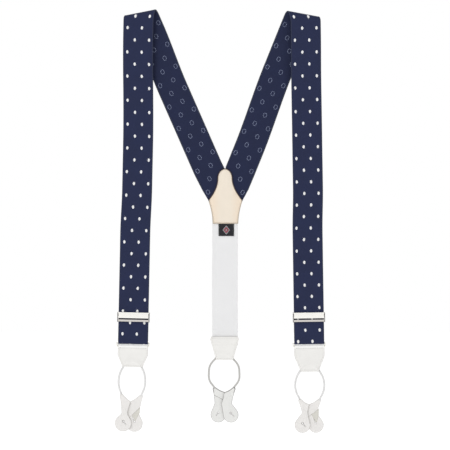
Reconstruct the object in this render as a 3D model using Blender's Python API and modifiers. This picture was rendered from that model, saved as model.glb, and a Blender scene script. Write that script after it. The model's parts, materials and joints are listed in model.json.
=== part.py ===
"""Gentlemen's dress braces (suspenders) with button ends, as an assembly of separate pieces.

The braces hang upright in the XZ plane: +Z is up, +X is to the viewer's right and the front faces -Y.
The origin is on the outer face of the back yoke, level with the yoke's two widest corners.
Two webbing straps rise from the yoke, fold forwards over the shoulders and come down in front.
Each front strap runs through a lever adjuster and round a wire loop, and its end is fixed to the adjuster.
An elastic runs down from the yoke. Each of the three ends has a leather tab, a cord that slides in the tab,
and two leather ears with buttonholes.
"""

import math

import bmesh
import bpy
from mathutils import Matrix, Vector

# Materials' thicknesses and the clearance between neighbours.
GAP = 0.0003
WEB_WIDTH = 0.0380
WEB_THICKNESS = 0.0012
LEATHER = 0.0014
EAR_THICKNESS = 0.0018
WIRE_RADIUS = 0.0010
WIRE_CLEARANCE = 0.0004
CORD_RADIUS = 0.0011

# Back yoke: a domed top, a little off the middle, widest at the origin's level, and a straight bottom edge.
YOKE_TIP = 0.0400
YOKE_DOME_FOOT = 0.0276
YOKE_DOME_HALF = 0.0097
YOKE_DOME_SHIFT = -0.0006
YOKE_CORNER_HALF = 0.0219
YOKE_BOTTOM = -0.0300
YOKE_BOTTOM_HALF = 0.0162
YOKE_FLANK_POWER = 1.9
YOKE_SKIRT_POWER = 1.8
WEB_CUT_LEVEL = -0.0004

# Rear elastic and the woven label in front of it.
ELASTIC_WIDTH = 0.0323
ELASTIC_X = -0.0006
ELASTIC_END = -0.1845
LABEL_SIZE = (0.0196, 0.0154)
LABEL_THICKNESS = 0.0004
LABEL_X = 0.0010

# Shoulder folds: the straps turn over round this radius.
FOLD_RADIUS = 0.0042

# Each side: where the rear strap starts at the origin's level, how far it leans, how the fold line rises
# towards the middle, and how far up the strap the fold is.
SIDES = {
    "left": {
        "outward": -1,
        "start_x": -0.0031,
        "rear_lean": math.radians(23.7),
        "fold_rise": math.radians(11.25),
        "rear_length": 0.2548,
        "loop_bar_drop": 0.4128,
    },
    "right": {
        "outward": 1,
        "start_x": 0.0034,
        "rear_lean": math.radians(22.0),
        "fold_rise": math.radians(10.55),
        "rear_length": 0.2497,
        "loop_bar_drop": 0.4112,
    },
}

# Front end hardware, placed from the centre of the wire loop's upper bar.
LOOP_BAR_SPACING = 0.0058
LOOP_INNER_HALF = 0.0193
LOOP_CORNER = 0.0016
ADJUSTER_ABOVE_BAR = 0.0317
STRAP_SPLIT_ABOVE_BAR = 0.0427
HOOK_DROP = 0.0002
HOOK_TURN_IN = 0.0050

CHEEK_INNER_HALF = 0.01945
CHEEK_THICKNESS = 0.0009
CHEEK_Y = (-0.0037, 0.0036)
CHEEK_HALF_HEIGHT = 0.0062
REAR_BAR_Y = (0.0025, 0.0030)
REAR_BAR_Z = (0.0010, 0.0050)
GRIP_BAR_Y = (0.0010, 0.0016)
GRIP_BAR_Z = (-0.0060, -0.0038)
FRONT_BAR_Y = (-0.0030, -0.0010)
FRONT_BAR_Z = (-0.0056, -0.0031)
PIN_RADIUS = 0.0006
PIN_HALF_LENGTH = 0.0210
PIN_Y = -0.0025
PIN_Z = 0.0049
KNUCKLE_RADIUS = 0.0015
LEVER_HALF_WIDTH = 0.0189
LEVER_FRONT_Y = -0.0040
LEVER_BACK_Y = -0.0031
LEVER_BOTTOM_Z = -0.0013

# Each end: the tab, measured down from its top edge, the cord's loop, and the ears, measured from the pivots.
ENDS = {
    "left": {
        "tab_half": 0.0189,
        "tab_straight": 0.0133,
        "tab_height": 0.0283,
        "tab_foot_half": 0.0127,
        "exit_half": 0.0110,
        "loop_half": 0.0168,
        "swing": math.radians(1.4),
        "notch_drop": 0.0074,
        "waist_drop": 0.0230,
        "waist_outer": {"front": 0.0012, "back": 0.0016},
        "waist_inner": {"front": 0.0084, "back": 0.0168},
        "blob_drop": 0.0350,
        "blob_radius": 0.0104,
        "blob_spacing": 0.0142,
        "blob_shift": -0.0016,
        "front_ear": -1,
    },
    "right": {
        "tab_half": 0.0190,
        "tab_straight": 0.0142,
        "tab_height": 0.0340,
        "tab_foot_half": 0.0112,
        "exit_half": 0.0120,
        "loop_half": 0.0184,
        "swing": math.radians(1.0),
        "notch_drop": 0.0050,
        "waist_drop": 0.0160,
        "waist_outer": {"front": 0.0028, "back": 0.0034},
        "waist_inner": {"front": 0.0096, "back": 0.0168},
        "blob_drop": 0.0312,
        "blob_radius": 0.0098,
        "blob_spacing": 0.0172,
        "blob_shift": -0.0006,
        "front_ear": -1,
    },
    "rear": {
        "tab_half": 0.0180,
        "tab_straight": 0.0032,
        "tab_height": 0.0293,
        "tab_foot_half": 0.0110,
        "exit_half": 0.0115,
        "loop_half": 0.0194,
        "swing": 0.0,
        "notch_drop": 0.0045,
        "waist_drop": 0.0190,
        "waist_outer": {"front": 0.0028, "back": 0.0004},
        "waist_inner": {"front": 0.0160, "back": 0.0128},
        "blob_drop": 0.0333,
        "blob_radius": 0.0096,
        "blob_spacing": 0.0160,
        "blob_shift": 0.0006,
        "front_ear": 1,
    },
}
REAR_TAB_TOP = -0.1733
REAR_TAB_TOP_HALF = 0.0170
REAR_TAB_X = -0.0011
REAR_CORD_X = -0.0017
CORD_LOOP_HEIGHT = 0.0375
CORD_EXIT_INSIDE = 0.0008
CORD_STOP_OUTSIDE_PIVOT = 0.0006
EAR_PIVOT_HALF = 0.0124
EAR_COLLAR_RADIUS = 0.0022
EAR_NOTCH_PAST_MIDDLE = {"front": -GAP, "back": 0.0012}
BUTTONHOLE_RADIUS = 0.0012
BUTTONHOLE_RAISE = 0.0024

# Depths (y) worked out from the thicknesses: the webbing lies between the yoke's two leathers.
YOKE_OUTER_Y = -LEATHER / 2
WEB_Y = -LEATHER - GAP - WEB_THICKNESS / 2
YOKE_LINING_Y = WEB_Y - WEB_THICKNESS / 2 - GAP - LEATHER / 2
FRONT_Y = WEB_Y - 2 * FOLD_RADIUS
WRAP_RADIUS = WIRE_RADIUS + WIRE_CLEARANCE + WEB_THICKNESS / 2
TAB_RADIUS = WIRE_RADIUS + WIRE_CLEARANCE + LEATHER / 2

COLLECTION = "dress_braces"
CUTTERS = "cutters"


def clear_scene():
    for obj in list(bpy.data.objects):
        bpy.data.objects.remove(obj, do_unlink=True)


def new_collection(name, rendered):
    collection = bpy.data.collections.new(name)
    bpy.context.scene.collection.children.link(collection)
    collection.hide_render = not rendered
    return collection


def new_material(name, colour, roughness, metallic=0.0):
    material = bpy.data.materials.new(name)
    material.use_nodes = True
    shader = material.node_tree.nodes["Principled BSDF"]
    shader.inputs["Base Color"].default_value = (*colour, 1.0)
    shader.inputs["Roughness"].default_value = roughness
    shader.inputs["Metallic"].default_value = metallic
    return material


# Names, then colour, roughness and metallic value of each piece's finish.
FINISHES = {
    "webbing": ((0.030, 0.036, 0.080), 0.80, 0.0),
    "cream_leather": ((0.87, 0.78, 0.66), 0.60, 0.0),
    "white_leather": ((0.87, 0.86, 0.83), 0.50, 0.0),
    "elastic": ((0.85, 0.85, 0.85), 0.75, 0.0),
    "label": ((0.017, 0.017, 0.021), 0.80, 0.0),
    "nickel": ((0.93, 0.91, 0.86), 0.18, 1.0),
}


def finish(obj, finish_name):
    """Gives obj its own material, from one of the finishes."""
    colour, roughness, metallic = FINISHES[finish_name]
    obj.data.materials.clear()
    obj.data.materials.append(new_material(obj.name, colour, roughness, metallic))
    return obj


def link(obj, parent=None, collection=COLLECTION):
    bpy.data.collections[collection].objects.link(obj)
    obj.parent = parent
    return obj


def new_empty(name, location, parent=None, turn_y=0.0):
    """An empty on a joint's axis or at a frame's origin, turned about Y."""
    empty = link(bpy.data.objects.new(name, None), parent)
    empty.empty_display_size = 0.01
    empty.location = location
    empty.rotation_euler = (0, turn_y, 0)
    return empty


def plate(name, outline, thickness, finish_name, parent=None, y=0.0, holes=()):
    """A flat piece in the XZ plane, from its outline as (x, z) points, with its middle at y."""
    curve = bpy.data.curves.new(name, "CURVE")
    curve.dimensions = "2D"
    curve.fill_mode = "BOTH"
    curve.extrude = thickness / 2
    for loop in (outline, *holes):
        spline = curve.splines.new("POLY")
        spline.points.add(len(loop) - 1)
        for point, (x, z) in zip(spline.points, loop):
            point.co = (x, z, 0, 1)
        spline.use_cyclic_u = True
    obj = link(bpy.data.objects.new(name, curve), parent)
    obj.rotation_euler = (math.pi / 2, 0, 0)
    obj.location = (0, y, 0)
    return finish(obj, finish_name)


def cord(name, points, radius, finish_name, parent, cyclic=False):
    """A round wire or cord through the points."""
    curve = bpy.data.curves.new(name, "CURVE")
    curve.dimensions = "3D"
    curve.bevel_depth = radius
    curve.bevel_resolution = 2
    curve.use_fill_caps = not cyclic
    spline = curve.splines.new("POLY")
    spline.points.add(len(points) - 1)
    for point, place in zip(spline.points, points):
        point.co = (*place, 1)
    spline.use_cyclic_u = cyclic
    return finish(link(bpy.data.objects.new(name, curve), parent), finish_name)


def sheet(name, path, half_width, thickness, finish_name, parent):
    """A strip of even thickness that follows path, a list of (y, z), and is half_width(row) to each side."""
    shape = bmesh.new()
    bmesh.ops.create_grid(shape, x_segments=2, y_segments=len(path) - 1, size=0.5)
    for vertex in shape.verts:
        row = round((vertex.co.y + 0.5) * (len(path) - 1))
        side = round(vertex.co.x * 2)
        y, z = path[row]
        vertex.co = (side * half_width(row), y, z)
    mesh = bpy.data.meshes.new(name)
    shape.to_mesh(mesh)
    shape.free()
    obj = link(bpy.data.objects.new(name, mesh), parent)
    solidify = obj.modifiers.new("thickness", "SOLIDIFY")
    solidify.thickness = thickness
    solidify.offset = 0
    solidify.use_even_offset = True
    return finish(obj, finish_name)


def box(name, x, y, z, parent, collection):
    """A box between the limits x, y and z, each a (low, high) pair."""
    shape = bmesh.new()
    bmesh.ops.create_cube(shape, size=1)
    for vertex in shape.verts:
        vertex.co = [low + (value + 0.5) * (high - low) for value, (low, high) in zip(vertex.co, (x, y, z))]
    mesh = bpy.data.meshes.new(name)
    shape.to_mesh(mesh)
    shape.free()
    return link(bpy.data.objects.new(name, mesh), parent, collection)


def cross_rod(name, radius, half_length, y, z, parent, collection, segments=16):
    """A cylinder along X."""
    shape = bmesh.new()
    bmesh.ops.create_cone(
        shape,
        cap_ends=True,
        segments=segments,
        radius1=radius,
        radius2=radius,
        depth=2 * half_length,
        matrix=Matrix.Rotation(math.pi / 2, 4, "Y"),
    )
    mesh = bpy.data.meshes.new(name)
    shape.to_mesh(mesh)
    shape.free()
    rod = link(bpy.data.objects.new(name, mesh), parent, collection)
    rod.location = (0, y, z)
    return rod


def boolean(obj, other, operation):
    modifier = obj.modifiers.new(other.name, "BOOLEAN")
    modifier.operation = operation
    modifier.object = other
    other.hide_render = True
    other.display_type = "WIRE"


def arc(centre, radius, start, end, steps):
    """Points from angle start to end, in radians, round centre, both ends included."""
    turns = [start + (end - start) * i / steps for i in range(steps + 1)]
    return [(centre[0] + radius * math.cos(a), centre[1] + radius * math.sin(a)) for a in turns]


def yoke_half_width(z):
    """Half the yoke's width at a height z."""
    if z > YOKE_DOME_FOOT:
        rise = (z - YOKE_DOME_FOOT) / (YOKE_TIP - YOKE_DOME_FOOT)
        return YOKE_DOME_HALF * math.sqrt(max(0.0, 1 - rise * rise))
    if z > 0:
        fall = (YOKE_DOME_FOOT - z) / YOKE_DOME_FOOT
        return YOKE_DOME_HALF + (YOKE_CORNER_HALF - YOKE_DOME_HALF) * fall**YOKE_FLANK_POWER
    left = 1 - z / YOKE_BOTTOM
    return YOKE_BOTTOM_HALF + (YOKE_CORNER_HALF - YOKE_BOTTOM_HALF) * left**YOKE_SKIRT_POWER


def yoke_outline():
    rise = YOKE_TIP - YOKE_DOME_FOOT
    dome = [YOKE_DOME_FOOT + rise * math.sin(math.radians(a)) for a in range(80, 0, -16)]
    flank = [YOKE_DOME_FOOT * (1 - i / 8) for i in range(9)]
    skirt = [YOKE_BOTTOM * i / 6 for i in range(1, 7)]
    right = [(yoke_half_width(z), z) for z in dome + flank + skirt]
    outline = [(0.0, YOKE_TIP), *right, *[(-x, z) for x, z in reversed(right)]]
    return [(x + YOKE_DOME_SHIFT * min(1.0, max(0.0, z / YOKE_DOME_FOOT)), z) for x, z in outline]


class Strap:
    """One webbing strap: a straight strip that leaves the yoke, and folds over on a line across it.

    Points on the strip are given by u, across it, and by b, how far they are past the fold line's start.
    """

    def __init__(self, side):
        self.outward = side["outward"]
        lean, rise = side["rear_lean"], side["fold_rise"]
        self.along = Vector((self.outward * math.sin(lean), math.cos(lean)))
        self.across = Vector((math.cos(lean), -self.outward * math.sin(lean)))
        self.crease = Vector((math.cos(rise), -self.outward * math.sin(rise)))
        self.over = Vector((self.outward * math.sin(rise), math.cos(rise)))
        self.start = Vector((side["start_x"], 0))
        self.centre = self.start + side["rear_length"] * self.along
        self.arc_length = math.pi * FOLD_RADIUS
        self.front_turn = -self.outward * (lean - 2 * rise)
        self.crease_turn = self.outward * rise

    def flat(self, u, b):
        """The place (x, z) of a point before the strap is folded."""
        past = (b - u * self.across.dot(self.over)) / self.along.dot(self.over)
        return self.centre + past * self.along + u * self.across

    def folded(self, u, b):
        """The place (x, y, z) of a point with the strap folded over."""
        place = self.flat(u, b) - self.centre
        along_crease = place.dot(self.crease)
        if b <= 0:
            height, y = b, WEB_Y
        elif b < self.arc_length:
            angle = b / FOLD_RADIUS
            height = FOLD_RADIUS * math.sin(angle)
            y = WEB_Y - FOLD_RADIUS * (1 - math.cos(angle))
        else:
            height, y = self.arc_length - b, FRONT_Y
        x, z = self.centre + along_crease * self.crease + height * self.over
        return Vector((x, y, z))

    def front_origin(self):
        """The middle of the front strap, level with the fold's axis."""
        return self.folded(0, self.arc_length)

    def fold_axis(self):
        """The middle of the axis that the strap turns over round."""
        return Vector((self.centre.x, WEB_Y - FOLD_RADIUS, self.centre.y))

    def rear_outline(self):
        """The rear run's outline: it ends on the middle plane and on a level cut inside the yoke."""
        half = WEB_WIDTH / 2
        outer, inner = self.outward * half, -self.outward * half
        edge = -GAP / 2
        middle_x = self.outward * GAP / 2

        def on_edge(u, want, index):
            """The point of the edge at u whose x (index 0) or z (index 1) is want."""
            first = self.start + u * self.across
            steps = (want - first[index]) / self.along[index]
            return first + steps * self.along

        level = on_edge(outer, WEB_CUT_LEVEL, 1)
        meeting = on_edge(inner, middle_x, 0)
        return [
            tuple(level),
            tuple(self.flat(outer, edge)),
            tuple(self.flat(inner, edge)),
            tuple(meeting),
            (middle_x, WEB_CUT_LEVEL),
        ]


def strap_shoulder(name, strap):
    """The part of a strap that turns over at the shoulder."""
    columns, rows = 4, 12
    shape = bmesh.new()
    bmesh.ops.create_grid(shape, x_segments=columns, y_segments=rows, size=0.5)
    low, high = GAP / 2, strap.arc_length - GAP / 2
    for vertex in shape.verts:
        u = vertex.co.x * WEB_WIDTH
        b = low + (vertex.co.y + 0.5) * (high - low)
        vertex.co = strap.folded(u, b)
    mesh = bpy.data.meshes.new(name)
    shape.to_mesh(mesh)
    shape.free()
    obj = link(bpy.data.objects.new(name, mesh))
    solidify = obj.modifiers.new("thickness", "SOLIDIFY")
    solidify.thickness = WEB_THICKNESS
    solidify.offset = 0
    solidify.use_even_offset = True
    return finish(obj, "webbing")


def front_strap(name, strap, frame, bottom):
    """The front run, cut at the top along the fold and at the bottom straight across."""
    half = WEB_WIDTH / 2
    top = []
    for u in (-half, half):
        place = strap.folded(u, strap.arc_length + GAP / 2)
        local = frame.matrix_world.inverted() @ place
        top.append((local.x, local.z))
    outline = [(-half, bottom), (half, bottom), top[1], top[0]]
    return plate(name, outline, WEB_THICKNESS, "webbing", frame)


def strap_loop(name, end_place):
    """The strap's lower run: round the wire loop's upper bar, up behind, and over the adjuster's rear bar."""
    hook_y = (REAR_BAR_Y[0] + REAR_BAR_Y[1]) / 2
    hook_radius = 2 * WRAP_RADIUS - hook_y
    hook_z = ADJUSTER_ABOVE_BAR + REAR_BAR_Z[1] - HOOK_DROP
    path = [(0.0, STRAP_SPLIT_ABOVE_BAR)]
    path += arc((WRAP_RADIUS, 0), WRAP_RADIUS, math.pi, 2 * math.pi, 10)
    path += arc((hook_y, hook_z), hook_radius, 0, math.pi, 8)
    path.append((hook_y - hook_radius, hook_z - HOOK_TURN_IN))
    return sheet(name, path, lambda row: WEB_WIDTH / 2, WEB_THICKNESS, "webbing", end_place)


def wire_loop(name, end_place):
    """The rectangular wire loop, with round corners, that joins the strap to the tab."""
    half_width = LOOP_INNER_HALF + WIRE_RADIUS
    half_height = LOOP_BAR_SPACING / 2
    corners = (
        (half_width, half_height, 0),
        (-half_width, half_height, 90),
        (-half_width, -half_height, 180),
        (half_width, -half_height, 270),
    )
    points = []
    for x, z, start in corners:
        centre = (x - math.copysign(LOOP_CORNER, x), z - half_height - math.copysign(LOOP_CORNER, z))
        turn = arc(centre, LOOP_CORNER, math.radians(start), math.radians(start + 90), 4)
        points += [(px, WRAP_RADIUS, pz) for px, pz in turn]
    return cord(name, points, WIRE_RADIUS, "nickel", end_place, cyclic=True)


def adjuster(side, slide):
    """The adjuster, round the empty slide: a frame of two cheeks and three bars, a lever and its pin."""
    cheek_x = (CHEEK_INNER_HALF, CHEEK_INNER_HALF + CHEEK_THICKNESS)
    cheek_z = (-CHEEK_HALF_HEIGHT, CHEEK_HALF_HEIGHT)
    name = f"{side}_adjuster_frame"
    body = box(name, cheek_x, CHEEK_Y, cheek_z, slide, COLLECTION)
    other_x = (-cheek_x[1], -cheek_x[0])
    bar_half = CHEEK_INNER_HALF + CHEEK_THICKNESS / 2
    bar_x = (-bar_half, bar_half)
    boolean(body, box(f"{name}_rear_bar", bar_x, REAR_BAR_Y, REAR_BAR_Z, slide, CUTTERS), "UNION")
    boolean(body, box(f"{name}_grip_bar", bar_x, GRIP_BAR_Y, GRIP_BAR_Z, slide, CUTTERS), "UNION")
    boolean(body, box(f"{name}_front_bar", bar_x, FRONT_BAR_Y, FRONT_BAR_Z, slide, CUTTERS), "UNION")
    boolean(body, box(f"{name}_far_cheek", other_x, CHEEK_Y, cheek_z, slide, CUTTERS), "UNION")
    bore = cross_rod(f"{name}_bore", PIN_RADIUS + GAP, PIN_HALF_LENGTH, PIN_Y, PIN_Z, slide, CUTTERS)
    boolean(body, bore, "DIFFERENCE")
    finish(body, "nickel")

    pin = cross_rod(f"{side}_adjuster_pin", PIN_RADIUS, PIN_HALF_LENGTH, PIN_Y, PIN_Z, slide, COLLECTION)
    pin.data.shade_smooth()
    pin.data.set_sharp_from_angle(angle=math.radians(40))
    finish(pin, "nickel")
    adjuster_lever(side, new_empty(f"{side}_lever_axis", (0, PIN_Y, PIN_Z), slide))


def adjuster_lever(side, axis):
    """The lever: a plate rolled round the pin at its top, with a bead along its bottom edge.

    The outline is in the (y, z) plane from the pin's axis, and is extruded across.
    """
    front, back = LEVER_FRONT_Y - PIN_Y, LEVER_BACK_Y - PIN_Y
    bottom = LEVER_BOTTOM_Z - PIN_Z
    bead = (front - back) / -2
    meets = math.acos(back / KNUCKLE_RADIUS)
    outline = [(front, bottom + bead)]
    outline += arc((0, 0), KNUCKLE_RADIUS, math.pi, -meets, 14)
    outline += arc(((front + back) / 2, bottom + bead), bead, 0, -math.pi, 6)[:-1]
    bore = arc((0, 0), PIN_RADIUS + GAP, 0, 2 * math.pi, 14)[:-1]
    name = f"{side}_adjuster_lever"
    lever = plate(name, outline, 2 * LEVER_HALF_WIDTH, "nickel", axis, holes=[bore])
    lever.rotation_euler = (math.pi / 2, 0, math.pi / 2)
    return lever


def tab_half_width(end, drop):
    """Half a tab's width at a drop below its top edge."""
    if drop <= end["tab_straight"]:
        return end["tab_half"]
    share = (drop - end["tab_straight"]) / (end["tab_height"] - end["tab_straight"])
    return end["tab_half"] + (end["tab_foot_half"] - end["tab_half"]) * min(1.0, share)


def folded_tab(name, end, axis):
    """A front tab: one leather strip folded over the wire loop's lower bar, on which axis lies."""
    drops = [end["tab_height"], end["tab_straight"], TAB_RADIUS + LEATHER / 2]
    to_z = TAB_RADIUS + LEATHER / 2
    front = [(-TAB_RADIUS, to_z - drop) for drop in drops]
    turn = arc((0, 0), TAB_RADIUS, math.pi, 0, 12)
    path = front + turn[1:-1] + [(-y, z) for y, z in reversed(front)]

    def half_width(row):
        return tab_half_width(end, to_z - path[row][1])

    return sheet(name, path, half_width, LEATHER, "white_leather", axis)


def rear_tab(name, end, y):
    """One of the two leathers that hold the lower end of the elastic between them."""
    drops = [0.0, end["tab_straight"], end["tab_height"]]
    halves = [REAR_TAB_TOP_HALF, end["tab_half"], end["tab_foot_half"]]
    right = [(half, REAR_TAB_TOP - drop) for half, drop in zip(halves, drops)]
    outline = right + [(-x, z) for x, z in reversed(right)]
    return plate(name, [(x + REAR_TAB_X, z) for x, z in outline], LEATHER, "white_leather", None, y)


class CordLoop:
    """The shape of one end's cord: an arc inside the tab, tangent to two bowed sides below it."""

    def __init__(self, end):
        self.exit_half = end["exit_half"]
        self.height = CORD_LOOP_HEIGHT - EAR_COLLAR_RADIUS - GAP
        self.stop_half = EAR_PIVOT_HALF + CORD_STOP_OUTSIDE_PIVOT
        self.bow = end["loop_half"] - (self.exit_half + self.stop_half) / 2
        flare = math.atan((self.bow * math.pi + self.stop_half - self.exit_half) / self.height)
        self.arc_half_angle = math.pi / 2 - flare
        self.radius = self.exit_half / math.cos(flare)
        self.exit_height = self.radius * math.sin(flare)

    def points(self):
        """Points (x, 0, z) from the left end to the right end, from the centre of the arc."""
        right = arc((0, 0), self.radius, math.pi / 2, math.pi / 2 - self.arc_half_angle, 7)
        for i in range(1, 14):
            t = i / 13
            x = self.exit_half + (self.stop_half - self.exit_half) * t + self.bow * math.sin(math.pi * t)
            right.append((x, self.exit_height - self.height * t))
        return [(-x, 0, z) for x, z in reversed(right[1:])] + [(x, 0, z) for x, z in right]


def ear(name, end, hand, label, y, axis):
    """A leather ear with a buttonhole, hung from its pivot on the cord. hand is -1 on the left, else 1."""
    inward = -hand
    blob_x = end["blob_shift"] + hand * end["blob_spacing"] / 2
    blob = (blob_x - hand * EAR_PIVOT_HALF, -end["blob_drop"])
    to_middle = EAR_PIVOT_HALF + EAR_NOTCH_PAST_MIDDLE[label]
    waist_z = -end["waist_drop"]
    radius = end["blob_radius"]

    def tangent_angle(x, z, turn):
        """The angle, round the blob, where a line from (x, z) touches it on the side given by turn."""
        dx, dz = x - blob[0], z - blob[1]
        return math.atan2(dz, dx) + turn * math.acos(min(1.0, radius / math.hypot(dx, dz)))

    outer = inward * end["waist_outer"][label]
    inner = inward * end["waist_inner"][label]
    collar = arc((0, 0), EAR_COLLAR_RADIUS, math.radians(190), math.radians(60), 8)
    outline = [(inward * x, z) for x, z in collar]
    outline += [(inward * to_middle, -end["notch_drop"]), (inner, waist_z)]
    first = tangent_angle(inner, waist_z, -inward)
    last = tangent_angle(outer, waist_z, inward)
    if inward > 0:
        last = last if last < first else last - 2 * math.pi
    else:
        last = last if last > first else last + 2 * math.pi
    outline += arc(blob, radius, first, last, 22)
    outline.append((outer, waist_z))
    hole = arc((blob[0], blob[1] + BUTTONHOLE_RAISE), BUTTONHOLE_RADIUS, 0, 2 * math.pi, 12)[:-1]
    return plate(name, outline, EAR_THICKNESS, "white_leather", axis, y, [hole])


def runner_and_ears(prefix, end, tab_foot_z, parent):
    """The cord and the two ears that hang from it. tab_foot_z is the level of the tab's lower edge."""
    loop = CordLoop(end)
    centre = (0, 0, tab_foot_z + CORD_EXIT_INSIDE - loop.exit_height)
    axis = new_empty(f"{prefix}_runner_axis", centre, parent, end["swing"])
    cord(f"{prefix}_cord", loop.points(), CORD_RADIUS, "white_leather", axis)
    pivot_z = loop.exit_height - CORD_LOOP_HEIGHT
    layer = EAR_THICKNESS / 2 + GAP / 2
    for hand in (-1, 1):
        label = "front" if hand == end["front_ear"] else "back"
        place = (hand * EAR_PIVOT_HALF, 0, pivot_z)
        pivot = new_empty(f"{prefix}_ear_{label}_axis", place, axis)
        ear(f"{prefix}_ear_{label}", end, hand, label, -layer if label == "front" else layer, pivot)


def build_yoke():
    plate("yoke_outer", yoke_outline(), LEATHER, "white_leather", None, YOKE_OUTER_Y)
    plate("yoke_lining", yoke_outline(), LEATHER, "cream_leather", None, YOKE_LINING_Y)


def build_rear():
    """The elastic with its label, and the rear button end."""
    top = WEB_CUT_LEVEL - GAP
    left, right = ELASTIC_X - ELASTIC_WIDTH / 2, ELASTIC_X + ELASTIC_WIDTH / 2
    elastic = [(left, ELASTIC_END), (right, ELASTIC_END), (right, top), (left, top)]
    plate("rear_elastic", elastic, WEB_THICKNESS, "elastic", None, WEB_Y)
    label_top = YOKE_BOTTOM - GAP
    label_y = WEB_Y - WEB_THICKNESS / 2 - GAP - LABEL_THICKNESS / 2
    width, height = LABEL_SIZE
    left, right = LABEL_X - width / 2, LABEL_X + width / 2
    outline = [(left, label_top - height), (right, label_top - height), (right, label_top), (left, label_top)]
    plate("woven_label", outline, LABEL_THICKNESS, "label", None, label_y)
    end = ENDS["rear"]
    rear_tab("rear_tab_front", end, WEB_Y - TAB_RADIUS)
    rear_tab("rear_tab_back", end, WEB_Y + TAB_RADIUS)
    place = new_empty("rear_end_place", (REAR_CORD_X, WEB_Y, 0))
    runner_and_ears("rear", end, REAR_TAB_TOP - end["tab_height"], place)


def build_side(name):
    """One shoulder strap with its adjuster and its button end."""
    side, end = SIDES[name], ENDS[name]
    strap = Strap(side)
    plate(f"{name}_strap_rear", strap.rear_outline(), WEB_THICKNESS, "webbing", None, WEB_Y)
    strap_shoulder(f"{name}_strap_shoulder", strap)

    shoulder = new_empty(f"{name}_shoulder_axis", strap.fold_axis(), None, strap.crease_turn)
    frame = new_empty(f"{name}_front_frame", (0, 0, 0), shoulder)
    bpy.context.view_layer.update()
    turn = Matrix.Rotation(strap.front_turn, 4, "Y")
    frame.matrix_world = Matrix.Translation(strap.front_origin()) @ turn
    bpy.context.view_layer.update()

    bar_z = -side["loop_bar_drop"]
    front_strap(f"{name}_strap_front", strap, frame, bar_z + STRAP_SPLIT_ABOVE_BAR + GAP)
    end_place = new_empty(f"{name}_end_place", (0, 0, bar_z), frame)
    strap_loop(f"{name}_strap_loop", end_place)
    wire_loop(f"{name}_wire_loop", end_place)
    adjuster(name, new_empty(f"{name}_adjuster_place", (0, 0, ADJUSTER_ABOVE_BAR), end_place))

    tab_axis = new_empty(f"{name}_tab_axis", (0, WRAP_RADIUS, -LOOP_BAR_SPACING), end_place)
    folded_tab(f"{name}_tab", end, tab_axis)
    runner_and_ears(name, end, TAB_RADIUS + LEATHER / 2 - end["tab_height"], tab_axis)


def main():
    clear_scene()
    new_collection(COLLECTION, True)
    new_collection(CUTTERS, False)
    build_yoke()
    build_rear()
    for name in SIDES:
        build_side(name)
    bpy.context.view_layer.update()


main()
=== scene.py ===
"""Gentlemen's dress braces: the visible pieces, materials, light and camera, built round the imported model.

Metres, +Z up, and the front faces -Y. Soft pieces are built in their own flat coordinates, u across and s
along (or x and z), with h out from the middle of the sheet, and a lay function folds them into place. Each
mesh keeps its flat coordinates in an attribute, place, so that weave and grain follow the piece.
"""

import json
import math

import bmesh
import bpy
import numpy as np
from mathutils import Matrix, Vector
from mathutils.geometry import delaunay_2d_cdt


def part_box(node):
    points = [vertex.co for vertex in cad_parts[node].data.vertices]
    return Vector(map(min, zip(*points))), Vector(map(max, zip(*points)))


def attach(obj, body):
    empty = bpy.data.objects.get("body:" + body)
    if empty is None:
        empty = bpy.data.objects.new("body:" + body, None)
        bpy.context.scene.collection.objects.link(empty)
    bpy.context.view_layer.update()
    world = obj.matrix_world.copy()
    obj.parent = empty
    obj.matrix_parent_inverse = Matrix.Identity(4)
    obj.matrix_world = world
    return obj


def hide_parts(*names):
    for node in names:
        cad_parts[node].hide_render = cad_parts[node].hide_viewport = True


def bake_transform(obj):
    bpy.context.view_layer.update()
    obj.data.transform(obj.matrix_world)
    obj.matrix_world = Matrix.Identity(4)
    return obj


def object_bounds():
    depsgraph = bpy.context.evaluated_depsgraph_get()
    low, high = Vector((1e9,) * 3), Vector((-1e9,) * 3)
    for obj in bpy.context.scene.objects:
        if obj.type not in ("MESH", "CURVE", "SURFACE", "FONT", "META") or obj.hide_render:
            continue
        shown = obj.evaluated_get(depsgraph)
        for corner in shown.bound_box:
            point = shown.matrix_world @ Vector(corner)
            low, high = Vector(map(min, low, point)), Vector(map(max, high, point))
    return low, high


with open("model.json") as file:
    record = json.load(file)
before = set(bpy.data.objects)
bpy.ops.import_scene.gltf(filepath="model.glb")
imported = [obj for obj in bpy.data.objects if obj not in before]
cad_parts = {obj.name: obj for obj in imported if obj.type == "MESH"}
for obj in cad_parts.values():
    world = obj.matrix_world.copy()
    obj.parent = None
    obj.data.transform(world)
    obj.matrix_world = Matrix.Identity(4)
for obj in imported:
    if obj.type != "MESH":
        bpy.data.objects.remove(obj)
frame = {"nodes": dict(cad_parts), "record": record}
first_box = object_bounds()
JOINTS = {joint["name"]: joint for joint in frame["record"]["behaviour"]["joints"]}
MM = 0.001
Y_AXIS = np.array([0.0, 1.0, 0.0])

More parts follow.
